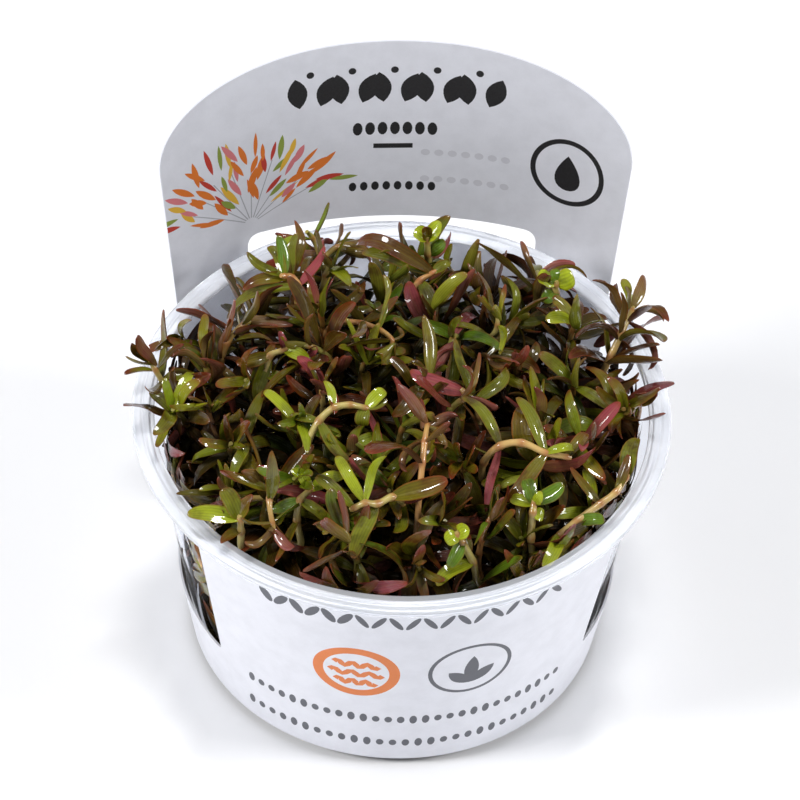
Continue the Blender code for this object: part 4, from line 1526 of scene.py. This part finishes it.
def stem_path(stem):
    """Places and frames along a stem's smooth course, closer together low down."""
    rings = list(stem["rings"])
    last = rings[-1]
    to_tip = stem["tip"] - last[0]
    along = to_tip.normalized()
    rings.append((stem["tip"], along, squared(last[2], along)))
    path = []
    for number, (low, high) in enumerate(zip(rings, rings[1:])):
        chord = (high[0] - low[0]).length
        pull = chord * STEM_TANGENT_SHARE
        steps = STEM_LOW_STEPS if number < FIRST_PAIR_RING else STEM_SPAN_STEPS
        for step in range(steps):
            share = step / steps
            square = share * share
            cube = square * share
            place = low[0] * (2.0 * cube - 3.0 * square + 1.0)
            place = place + low[1] * pull * (cube - 2.0 * square + share)
            place = place + high[0] * (3.0 * square - 2.0 * cube)
            place = place + high[1] * pull * (cube - square)
            along = low[1].lerp(high[1], share).normalized()
            path.append((place, along, squared(low[2].lerp(high[2], share), along)))
    path.append(rings[-1])
    return path


def canopy_height(place):
    """Height of the shoots' tips about a place."""
    share = min(1.0, math.hypot(place.x / TIP_REACH_X, (place.y - TIP_MIDDLE_Y) / TIP_REACH_Y))
    return TIP_HEIGHT - TIP_FALL * share**3 + TIP_SLOPE * place.y


def in_opening(beads):
    """Whether beads reach into the gap behind the shoots, which stays free."""
    for place, radius, _ in beads:
        if all(low - radius < value < high + radius for value, low, high in zip(place, *OPENING)):
            return True
    return False


def in_bounds(beads):
    """Whether beads stay in the box of the CAD model, and low enough before the header."""
    low, high = cad_box
    for place, radius, _ in beads:
        if place.y > HEADER_FRONT and place.z > HEADER_CLEAR:
            return False
        if any(value - radius < least or value + radius > most
               for value, least, most in zip(place, low, high)):
            return False
    return True


def in_free_room(beads):
    """Whether beads stay in the room for shoots and in the CAD model's box, clear of the gap."""
    return inside_room(beads) and in_bounds(beads) and not in_opening(beads)


def thin_beads(beads, share=THIN_SHARE):
    """Narrower beads, for blades that may lie close over one another."""
    return [(place, radius * share, passed) for place, radius, passed in beads]


def loosen(rng, leaf, along):
    """Turn a leaf further off its stem, with more droop and twist."""
    outward = squared(leaf["direction"], along)
    leaf["direction"], leaf["normal"] = opened(outward, along, rng.uniform(*SPARE_OPENING))
    leaf["half_width"] *= rng.uniform(*SPARE_WIDTH)
    leaf["bend"] = rng.uniform(*SPARE_BEND)
    leaf["sweep"] = rng.uniform(-SPARE_SWEEP, SPARE_SWEEP)
    leaf["twist"] = rng.uniform(-SPARE_TWIST, SPARE_TWIST)


def try_leaf(rng, grown, ring, face, pair, sizes, owner, tries):
    """A small leaf that finds room, or None."""
    for attempt in range(tries):
        size = rng.uniform(*sizes) * (1.0 - TRY_SHRINK * attempt / tries)
        leaf = leaf_plan(rng, ring, face, pair, size)
        loosen(rng, leaf, ring[1])
        beads = leaf_beads(leaf)
        thin = thin_beads(beads)
        if in_free_room(beads) and grown.free(thin, owner):
            grown.add(thin)
            return leaf
    return None


def branch_controls(rng, ring, arched):
    """Control points of a side shoot, upright or arching over its neighbours, or None."""
    place, along, side = ring
    outward = spun(side, rng.uniform(0.0, math.tau), along)
    level = level_out(outward)
    tip = place + level * rng.uniform(*(ARCHED_REACH if arched else BRANCH_REACH))
    tip.z = canopy_height(tip) + rng.uniform(*BRANCH_TIP)
    climb = tip.z - place.z
    start = place + outward * STEM_RADIUS * BRANCH_FOOT_SHARE
    if arched and tip.y <= ARCHED_BACK:
        tip.z += ARCHED_LIFT
        low = start + level * ARCHED_OUT_MM * MM + UP * rng.uniform(*ARCHED_RISE_MM) * MM
        high = tip + UP * rng.uniform(*ARCHED_CROWN_MM) * MM
    elif not arched and climb >= BRANCH_CLIMB:
        low = start + outward * climb * BRANCH_LOW_OUT + along * climb * BRANCH_LOW_UP
        high = tip - UP * climb * rng.uniform(*BRANCH_HIGH_DROP)
    else:
        return None
    return start, low, high + level_offset(rng, BRANCH_SWAY), tip


def add_branches(stems, grown):
    """Side shoots from the stems' leaf pairs, which fill the room between; some arch over it."""
    rng = random.Random(SEED + 5)
    for number, stem in enumerate(stems):
        stem["branches"] = []
        levels = BRANCH_LEVELS + ((ARCH_LEVEL,) if rng.random() < ARCHED_SHARE else ())
        for level in levels:
            ring = stem["rings"][FIRST_PAIR_RING + level]
            for _ in range(BRANCH_TRIES):
                controls = branch_controls(rng, ring, level == ARCH_LEVEL)
                if controls is None:
                    continue
                branch = ringed_curve(rng, controls, BRANCH_PAIRS, BRANCH_STEP)
                beads = stem_beads(branch, BRANCH_SHARE)
                if in_free_room(beads) and grown.free(beads, number):
                    branch["owner"] = (number, level)
                    branch["path"] = stem_path(branch)
                    branch["leaves"] = []
                    grown.add(beads, branch["owner"])
                    stem["branches"].append(branch)
                    break
    for pair in reversed(range(BRANCH_PAIRS)):
        rank = pair + PAIRS - BRANCH_PAIRS
        for stem in stems:
            for branch in stem["branches"]:
                ring = branch["rings"][FIRST_PAIR_RING + pair]
                for face in (pair % 2, pair % 2 + 2):
                    leaf = try_leaf(rng, grown, ring, face, rank, BRANCH_LEAF, branch["owner"],
                                    BRANCH_LEAF_TRIES)
                    if leaf is not None:
                        leaf["rank"] = rank / (PAIRS - 1.0)
                        branch["leaves"].append(leaf)


def add_wall_shoots(stems):
    """Side shoots that lean on the wall where the sleeve leaves it bare, and climb it."""
    rng = random.Random(SEED + 9)
    for angle in WALL_SHOOT_DEGREES:
        turn = math.radians(angle + rng.uniform(-WALL_SHOOT_SPREAD_DEGREES, WALL_SHOOT_SPREAD_DEGREES))
        heading = Vector((math.cos(turn), math.sin(turn), 0.0))
        foot = heading * (inner_radius(WALL_SHOOT_FOOT) - WALL_SHOOT_GAP) + UP * WALL_SHOOT_FOOT
        owner = min(stems, key=lambda stem: (stem["rings"][1][0] - foot).length)
        start = owner["rings"][1][0]
        drift = UP.cross(heading) * rng.uniform(-WALL_SHOOT_DRIFT_MM, WALL_SHOOT_DRIFT_MM) * MM
        top = rng.uniform(*WALL_SHOOT_TOP)
        tip = (heading * inner_radius(top) + drift).normalized() * (inner_radius(top) - WALL_SHOOT_GAP)
        tip.z = top
        low = foot.lerp(start, WALL_SHOOT_LOW[0]) - UP * WALL_SHOOT_LOW[1]
        high = foot.lerp(tip, WALL_SHOOT_HIGH[0]) + heading * WALL_SHOOT_HIGH[1]
        climber = ringed_curve(rng, (start, low, high, tip), BRANCH_PAIRS, BRANCH_STEP)
        climber["path"] = stem_path(climber)
        climber["leaves"] = []
        owner["branches"].append(climber)


def ring_below(path, wanted):
    """The first place and frame that lie a wanted way below a path's tip, or None."""
    passed = 0.0
    for after, before in zip(path[::-1], path[-2::-1]):
        passed += (after[0] - before[0]).length
        if passed >= wanted:
            return before
    return None


def add_spare_leaves(stems, grown):
    """More leaves in the gaps: at leafless places of the pairs, between them and lower down."""
    rng = random.Random(SEED + 2)
    for stem in stems:
        stem["spares"] = []
    for rank in range(SPARE_RANKS):
        for number, stem in enumerate(stems):
            top = (stem["tip"] - stem["rings"][-1][0]).length
            ring = ring_below(stem["path"], top + SPARE_STEP * (rank + rng.uniform(*SPARE_PLACE)))
            if ring is None or ring[0].z < GEL_TOP + SPARE_LOW:
                continue
            turn = rng.uniform(0.0, 2.0)
            for face in (turn, turn + 1.0, turn + 2.0, turn + 3.0):
                leaf = try_leaf(rng, grown, ring, face, 0, SPARE_LEAF, number, SPARE_TRIES)
                if leaf is not None:
                    leaf["rank"] = MIDDLE_RANK * (1.0 - rank / SPARE_RANKS)
                    stem["spares"].append(leaf)


def camera_axes():
    """The camera's right, up and backward directions."""
    back = Vector((math.sin(CAMERA_AZIMUTH) * math.cos(CAMERA_ELEVATION),
                   -math.cos(CAMERA_AZIMUTH) * math.cos(CAMERA_ELEVATION),
                   math.sin(CAMERA_ELEVATION)))
    right = Vector((math.cos(CAMERA_AZIMUTH), math.sin(CAMERA_AZIMUTH), 0.0))
    upright = back.cross(right)
    turned_right = right * math.cos(CAMERA_ROLL) + upright * math.sin(CAMERA_ROLL)
    turned_up = upright * math.cos(CAMERA_ROLL) - right * math.sin(CAMERA_ROLL)
    return turned_right, turned_up, back


def seen_at(x, y, height):
    """The place at a height in mm that the photograph shows at a pixel."""
    right, upward, back = camera_axes()
    eye = CAMERA_TARGET + back * CAMERA_DISTANCE
    ray = right * (x - PHOTO_SIZE / 2.0) - upward * (y - PHOTO_SIZE / 2.0) - back * FOCAL_PIXELS
    return eye + ray * ((height * MM - eye.z) / ray.z)


def aimed_leaf(start, end, half_width, bend, up, twist):
    """A leaf from one place to another, arched by an angle, its upper face towards up."""
    chord = end - start
    along = chord.normalized()
    normal = squared(up, along)
    half = bend / 2.0
    return {
        "start": start,
        "direction": along * math.cos(half) + normal * math.sin(half),
        "normal": normal * math.cos(half) - along * math.sin(half),
        "length": chord.length * half / math.sin(half),
        "half_width": half_width,
        "rings": LOW_LEAF_RINGS,
        "bend": bend,
        "sweep": 0.0,
        "twist": twist,
    }


def nearest_below(stems, place):
    """The number of the stem, and the place on it, that lie nearest a little below a place."""
    spots = [(number, spot) for number, stem in enumerate(stems) for spot, _, _ in stem["path"]
             if SEEN_DROP[0] <= place.z - spot.z <= SEEN_DROP[1]]
    return min(spots, key=lambda found: (found[1] - place).length)


def framed_places(places):
    """Places of a stem with the frames of their rings; the stem starts upright."""
    before_first = places[0] - UP * MM
    after_last = places[-1] + (places[-1] - places[-2])
    spots = [before_first, *places, after_last]
    side = Vector((1.0, 0.0, 0.0))
    rings = []
    for before, place, after in zip(spots, places, spots[2:]):
        along = (after - before).normalized()
        side = squared(side, along)
        rings.append((place, along, side))
    return rings


def add_seen_shoots(stems, grown):
    """Side shoots that stand out in the photograph, each grown from the nearest stem below it."""
    rng = random.Random(SEED + 7)
    for stem in stems:
        stem["seen"] = []
    for mood, pixels, blades in SEEN_SHOOTS:
        places = [seen_at(*pixel) for pixel in pixels]
        number, root = nearest_below(stems, places[0])
        places.insert(0, root)
        rings = framed_places(places)
        tip = places[-1] + (places[-1] - places[-2]).normalized() * SEEN_TIP_MM * MM
        shoot = {"rings": rings, "tip": tip, "mood": mood, "leaves": []}
        shoot["path"] = stem_path(shoot)
        grown.add(string_beads(places, [STEM_RADIUS] * len(places)))
        for index, pixel, half_width, bend, tint in blades:
            facing = Vector((rng.uniform(-SEEN_TURN, SEEN_TURN),
                             SEEN_FACING + rng.uniform(-SEEN_TURN, SEEN_TURN), 1.0))
            leaf = aimed_leaf(rings[index][0], seen_at(*pixel), half_width * MM, bend, facing,
                              rng.uniform(-SEEN_TWIST, SEEN_TWIST))
            leaf["tint"] = tint
            grown.add(thin_beads(leaf_beads(leaf)))
            shoot["leaves"].append(leaf)
        stems[number]["seen"].append(shoot)


def wall_angle(length, gap):
    """The angle at which a leaf of a length leaves its stem to end flat on a wall across a gap."""
    low, high = 0.0, math.pi / 2.0 - LEAST_BEND
    for _ in range(WALL_ANGLE_HALVINGS):
        middle = (low + high) / 2.0
        reach = length * (1.0 - math.sin(middle)) / (math.pi / 2.0 - middle)
        if reach > gap:
            low = middle
        else:
            high = middle
    return low


def wall_leaf(rng, place, side, gap):
    """A leaf to one side that bends against the wall across a gap, and its layer, or None."""
    outward = level_out(place)
    slant = rng.uniform(*WALL_LEAF_SLANT)
    heading = UP.cross(outward) * side * math.cos(slant) + UP * math.sin(slant)
    length = rng.uniform(*WALL_LEAF_LENGTH_MM) * MM
    if gap > length * WALL_LEAF_REACH:
        return None, None
    angle = wall_angle(length, gap)
    direction, normal = opened(heading, outward, angle)
    layer = rng.randrange(WALL_LAYERS)
    return {
        "start": place,
        "direction": direction,
        "normal": normal,
        "length": length,
        "half_width": rng.uniform(*WALL_LEAF_WIDTH_MM) * MM,
        "rings": LOW_LEAF_RINGS,
        "bend": math.pi / 2.0 - angle,
        "sweep": rng.uniform(-WALL_LEAF_SWEEP, WALL_LEAF_SWEEP),
        "twist": rng.uniform(-WALL_LEAF_TWIST, WALL_LEAF_TWIST),
        "wall_gap": (WALL_LEAF_LIFT_MM + WALL_LAYER_STEP_MM * layer) * MM,
        "rank": MIDDLE_RANK,
    }, layer


def add_wall_leaves(stems):
    """Layers of leaves that bend against the inside of the cup's wall and lie flat on it."""
    rng = random.Random(SEED + 8)
    layers = [Beads() for _ in range(WALL_LAYERS)]
    lowest_end, highest_end = WALL_LEAF_ENDS
    for stem in stems:
        stem["pressed"] = []
        for course in [stem["path"]] + [branch["path"] for branch in stem["branches"]]:
            height = WALL_LEAF_LOW
            for place, _, _ in course:
                reach = math.hypot(place.x, place.y)
                in_front = abs(place.x) < WALL_SIDE_SHARE * reach
                lowest = max(height, WALL_FRONT_LOW) if in_front else height
                if not lowest <= place.z <= WALL_LEAF_HIGH or place.y > WALL_LEAF_BACK:
                    continue
                gap = inner_radius(place.z) - reach - WALL_LEAF_ROOM
                if not WALL_LEAF_GAPS[0] <= gap <= WALL_LEAF_GAPS[1]:
                    continue
                height = place.z + WALL_LEAF_STEP
                for side in (-1.0, 1.0) * WALL_LEAF_TRIES:
                    leaf, layer = wall_leaf(rng, place, side, gap)
                    if leaf is None:
                        continue
                    beads = leaf_beads(leaf)
                    thin = thin_beads(beads, WALL_THIN_SHARE)[WALL_FREE_BEADS:]
                    inside = lowest_end < beads[-1][0].z < highest_end
                    if inside and not in_opening(beads) and layers[layer].free(thin):
                        layers[layer].add(thin)
                        stem["pressed"].append(leaf)


def tuft(rng, path, size):
    """The smallest leaves, still closed about a tip."""
    leaves = []
    place, along, side = path[-1]
    lean = level_offset(rng, TUFT_LEAN) + UP * rng.uniform(-TUFT_DROOP, TUFT_DROOP)
    along = (along + lean).normalized()
    side = squared(side, along)
    for pair in range(TUFT_PAIRS):
        rank = pair / TUFT_PAIRS
        shrink = 1.0 - TUFT_SHRINK * rank
        ring = (place - along * (TUFT_DEPTH_MM - TUFT_CLIMB_MM * rank) * MM, along, side)
        for face in (pair % 2, pair % 2 + 2):
            leaf = leaf_plan(rng, ring, face, PAIRS - 1, 1.0)
            opening = math.radians(rng.uniform(*TUFT_OPENING_DEGREES) * shrink)
            outward = spun(side, face * math.pi / 2.0 + rng.uniform(-TUFT_TURN, TUFT_TURN), along)
            leaf["direction"], leaf["normal"] = opened(outward, along, opening)
            leaf["length"] = rng.uniform(*TUFT_LENGTH_MM) * MM * shrink * size
            leaf["half_width"] = min(TUFT_WIDEST, leaf["length"] * rng.uniform(*TUFT_SLENDERNESS))
            leaf["bend"] = rng.uniform(*TUFT_BEND)
            leaf["twist"] = rng.uniform(-TUFT_TWIST, TUFT_TWIST)
            leaf["start"] = ring[0] + outward * STEM_RADIUS * TUFT_START_SHARE
            if in_free_room(leaf_beads(leaf)[1:]):
                leaves.append(leaf)
    return leaves


def blade_width(share, blunt):
    """Share of the full half width along a blade, from its narrow base to its rounded tip."""
    if share < BLADE_WIDEST:
        climb = share / BLADE_WIDEST
        return BLADE_NECK + BLADE_SWELL * climb * (2.0 - climb)
    return max(0.0, 1.0 - ((share - BLADE_WIDEST) / (1.0 - BLADE_WIDEST)) ** blunt) ** 0.5


def blade_frame(leaf, look, share):
    """Point, side direction and normal of a leaf with the curl and hook of its outer half."""
    place, side, facing = leaf_frame(leaf, share)
    late = max(0.0, share - CURL_FROM)
    place = place - facing * leaf["length"] * look["curl"] * late * late
    place = place + side * leaf["length"] * look["hook"] * late * late
    return place, side, facing


def held(point, leaf):
    """A leaf's point, eased in near the cup's wall if it lies there, and kept in the CAD model's box."""
    if "wall_gap" in leaf:
        limit = inner_radius(point.z) - WALL_ROOM - leaf["wall_gap"]
        reach = math.hypot(point.x, point.y)
        if reach > limit:
            eased = limit + WALL_EASE * (1.0 - math.exp((limit - reach) / MM))
            point = Vector((point.x * eased / reach, point.y * eased / reach, point.z))
    low, high = cad_box
    return Vector(min(max(value, least), most) for value, least, most in zip(point, low, high))


class ShootMesh:
    """Points, faces and tints of one shoot's stem and leaves."""

    def __init__(self):
        self.points = []
        self.faces = []
        self.places = []
        self.tints = []
        self.material_numbers = []

    def add_ring(self, points, places, tint):
        """Add points with their place on the leaf or stem; gives their numbers."""
        first = len(self.points)
        self.points.extend(points)
        self.places.extend(places)
        self.tints.extend([tint] * len(points))
        return list(range(first, len(self.points)))

    def add_face(self, corners, material):
        """Add a face with its material's number."""
        self.faces.append(corners)
        self.material_numbers.append(material)

    def skin(self, rings, material):
        """Faces between rings of as many points, and over the first ring."""
        for low, high in zip(rings, rings[1:]):
            for index in range(len(low)):
                after = (index + 1) % len(low)
                self.add_face((low[index], low[after], high[after], high[index]), material)
        self.add_face(tuple(rings[0][::-1]), material)

    def add_stem(self, stem, look, size):
        """A round stem with swollen nodes."""
        path = stem["path"]
        nodes = [ring[0] for ring in stem["rings"][FIRST_PAIR_RING:]]
        rings = []
        for number, (place, along, side) in enumerate(path):
            share = number / (len(path) - 1.0)
            node = max(math.exp(-((place - spot).length / NODE_LENGTH) ** 2) for spot in nodes)
            late = max(0.0, (share - STEM_TAPER_FROM) / (1.0 - STEM_TAPER_FROM))
            taper = 1.0 - (1.0 - STEM_TIP_SHARE) * late
            radius = STEM_RADIUS * size * taper * (1.0 + NODE_SWELLING * node)
            other = along.cross(side)
            ring = []
            for corner in range(STEM_SIDES):
                turn = math.tau * corner / STEM_SIDES
                ring.append(place + (side * math.cos(turn) + other * math.sin(turn)) * radius)
            young = max(0.0, (share - STEM_YOUNG_FROM) / (1.0 - STEM_YOUNG_FROM))
            tint = (look["stem_mood"], young * look["stem_youth"], 0.0)
            rings.append(self.add_ring(ring, [(share, node, 0.0)] * STEM_SIDES, tint))
        self.skin(rings, STEM_MATERIAL)
        self.add_face(tuple(rings[-1]), STEM_MATERIAL)

    def add_blade(self, leaf, look):
        """A thick, channelled blade with a midrib and slightly wavy margins."""
        rings = []
        for share in BLADE_SHARES:
            place, side, facing = blade_frame(leaf, look, share)
            width = blade_width(share, look["blunt"])
            half = leaf["half_width"] * width * look["widen"]
            fold = look["fold"] * (1.0 - FOLD_FADE * share)
            body = BLADE_EDGE + BLADE_BODY * min(1.0, width * BLADE_BODY_GROWTH)
            thick = BLADE_THICKNESS * body * look["thick"]
            ring = []
            places = []
            for under, line in ((0.0, BLADE_TOP), (1.0, BLADE_UNDER)):
                for across in line:
                    wave = math.sin(share * look["wave_count"] + look["phase"] + across)
                    reach = half * math.sin(fold * across) / fold
                    lift = half * (1.0 - math.cos(fold * across)) / fold
                    lift += half * look["wave"] * across**2 * wave
                    centre = math.exp(-((across / MIDRIB_WIDTH) ** 2)) * min(1.0, MIDRIB_END - share)
                    if under:
                        lift -= thick * (1.0 - across * across) ** 0.5 + MIDRIB_RIDGE * centre
                    else:
                        lift -= MIDRIB_GROOVE * centre
                    ring.append(held(place + side * reach + facing * lift, leaf))
                    places.append((share, across, under))
            rings.append(self.add_ring(ring, places, look["tint"]))
        self.skin(rings, LEAF_MATERIAL)
        place, _, facing = blade_frame(leaf, look, 1.0)
        place = held(place - facing * BLADE_THICKNESS * BLADE_TIP_SINK, leaf)
        tip = self.add_ring([place], [(1.0, 0.0, 0.5)], look["tint"])[0]
        last = rings[-1]
        for index in range(len(last)):
            self.add_face((last[index], last[(index + 1) % len(last)], tip), LEAF_MATERIAL)

    def add_leaves(self, rng, leaves, shoot_look):
        """Add leaves, each with a look of its own; those without a rank are the youngest."""
        for leaf in leaves:
            look = leaf_look(rng, leaf.get("rank", 1.0), shoot_look)
            look["tint"] = leaf.get("tint", look["tint"])
            self.add_blade(leaf, look)


def leaf_look(rng, rank, shoot_look):
    """How one leaf is folded, curled and tinted; rank is 1 at the tip and 0 low down."""
    fold = rng.uniform(*LEAF_FOLD)
    if rng.random() < BACKWARD_CHANCE:
        fold *= BACKWARD_FOLD
    least, most = BLUSH_LIMITS
    blush = min(most, max(least, rng.gauss(shoot_look["red"], BLUSH_SPREAD)))
    if rng.random() < PINK_CHANCE:
        blush = rng.uniform(*PINK_BLUSH)
    young = max(0.0, rank - YOUNG_FROM) / (1.0 - YOUNG_FROM)
    youth = young * rng.uniform(0.0, 1.0) * shoot_look["youth"]
    mood = rng.gauss(shoot_look["mood"], MOOD_SPREAD) - MOOD_FALL * (1.0 - rank)
    return {
        "curl": rng.uniform(*LEAF_CURL),
        "hook": rng.uniform(-LEAF_HOOK, LEAF_HOOK),
        "blunt": rng.choice(LEAF_BLUNTNESS),
        "widen": rng.uniform(*LEAF_WIDEN),
        "fold": fold,
        "wave": rng.uniform(0.0, LEAF_WAVE),
        "wave_count": rng.uniform(*LEAF_WAVE_COUNT),
        "phase": rng.uniform(0.0, math.tau),
        "thick": rng.uniform(*LEAF_THICKNESS),
        "tint": (min(1.0, max(0.0, mood)), youth, blush),
    }


def shoot_mesh(rng, stem):
    """One shoot: stem, pairs of leaves, closed tip, seen shoots and side shoots."""
    look = {
        "red": rng.choice(SHOOT_REDS),
        "mood": rng.uniform(*SHOOT_MOOD),
        "youth": rng.choice(SHOOT_YOUTHS),
        "stem_mood": rng.uniform(*STEM_MOOD),
        "stem_youth": rng.uniform(*STEM_YOUTH),
    }
    shoot = ShootMesh()
    shoot.add_stem(stem, look, MAIN_STEM)
    paired = [leaf for _, leaf in sorted(stem["leaves"].items())]
    shoot.add_leaves(rng, paired + stem["spares"] + stem["pressed"], look)
    shoot.add_leaves(rng, tuft(rng, stem["path"], 1.0), look)
    for seen in stem["seen"]:
        seen_look = dict(look, stem_mood=seen["mood"], stem_youth=SEEN_STEM_YOUTH)
        shoot.add_stem(seen, seen_look, MAIN_STEM)
        shoot.add_leaves(rng, seen["leaves"], seen_look)
    for branch in stem["branches"]:
        stem_mood = rng.uniform(*BRANCH_MOOD)
        branch_look = dict(look, stem_mood=stem_mood, stem_youth=rng.uniform(*BRANCH_YOUTH))
        shoot.add_stem(branch, branch_look, BRANCH_SHARE)
        shoot.add_leaves(rng, branch["leaves"], look)
        shoot.add_leaves(rng, tuft(rng, branch["path"], BRANCH_TUFT), look)
    return shoot


def make_shoots():
    """Every shoot as one piece: stem, side shoots, pairs of leaves and closed tips."""
    stems, grown = grow_shoots()
    add_seen_shoots(stems, grown)
    add_branches(stems, grown)
    add_wall_shoots(stems)
    add_wall_leaves(stems)
    add_spare_leaves(stems, grown)
    rng = random.Random(SEED + 4)
    materials = [leaf_material(), stem_material()]
    for number, stem in enumerate(stems):
        shoot = shoot_mesh(rng, stem)
        name = "%02d" % (number + 1)
        piece = new_piece("leafy_shoot_" + name, shoot.points, shoot.faces, materials,
                          "shoot_" + name, 60.0)
        mesh = piece.data
        mesh.polygons.foreach_set("material_index", shoot.material_numbers)
        for attribute, values in (("leaf_place", shoot.places), ("leaf_tint", shoot.tints)):
            layer = mesh.attributes.new(attribute, "FLOAT_VECTOR", "POINT")
            layer.data.foreach_set("vector", [part for value in values for part in value])


def make_stage():
    """Pale floor and soft lights."""
    mesh = bpy.data.meshes.new("floor")
    corners = ((-1.0, -1.0), (1.0, -1.0), (1.0, 1.0), (-1.0, 1.0))
    points = [(x * FLOOR_REACH, y * FLOOR_REACH, -FLOOR_DROP) for x, y in corners]
    mesh.from_pydata(points, [], [(0, 1, 2, 3)])
    mesh.materials.append(floor_material())
    floor = bpy.data.objects.new("floor", mesh)
    bpy.context.scene.collection.objects.link(floor)

    world = bpy.data.worlds.new("studio")
    bpy.context.scene.world = world
    world.use_nodes = True
    background = world.node_tree.nodes["Background"]
    background.inputs["Color"].default_value = srgb(*SKY_COLOR)
    background.inputs["Strength"].default_value = SKY_STRENGTH

    for name, (place, size, power) in LIGHTS.items():
        data = bpy.data.lights.new(name, "AREA")
        data.shape = "DISK"
        data.size = size
        data.energy = power
        light = bpy.data.objects.new(name, data)
        light.location = place
        light.rotation_mode = "QUATERNION"
        light.rotation_quaternion = (LIGHTS_AIM - Vector(place)).to_track_quat("-Z", "Y")
        bpy.context.scene.collection.objects.link(light)


def make_camera():
    """The camera that the photograph was fitted with."""
    right, upward, back = camera_axes()
    data = bpy.data.cameras.new("camera")
    data.sensor_width = SENSOR_WIDTH
    data.lens = FOCAL_PIXELS / PHOTO_SIZE * SENSOR_WIDTH
    data.clip_start = CLIP_START
    data.clip_end = CLIP_END
    camera = bpy.data.objects.new("camera", data)
    axes = Matrix((right, upward, back)).transposed().to_4x4()
    camera.matrix_world = Matrix.Translation(CAMERA_TARGET + back * CAMERA_DISTANCE) @ axes
    bpy.context.scene.collection.objects.link(camera)
    bpy.context.scene.camera = camera


def main():
    """Dress the whole part and set the stage."""
    make_cup()
    make_sleeve()
    make_gel()
    make_shoots()
    make_stage()
    make_camera()
    bpy.context.scene.view_settings.view_transform = "Standard"


main()
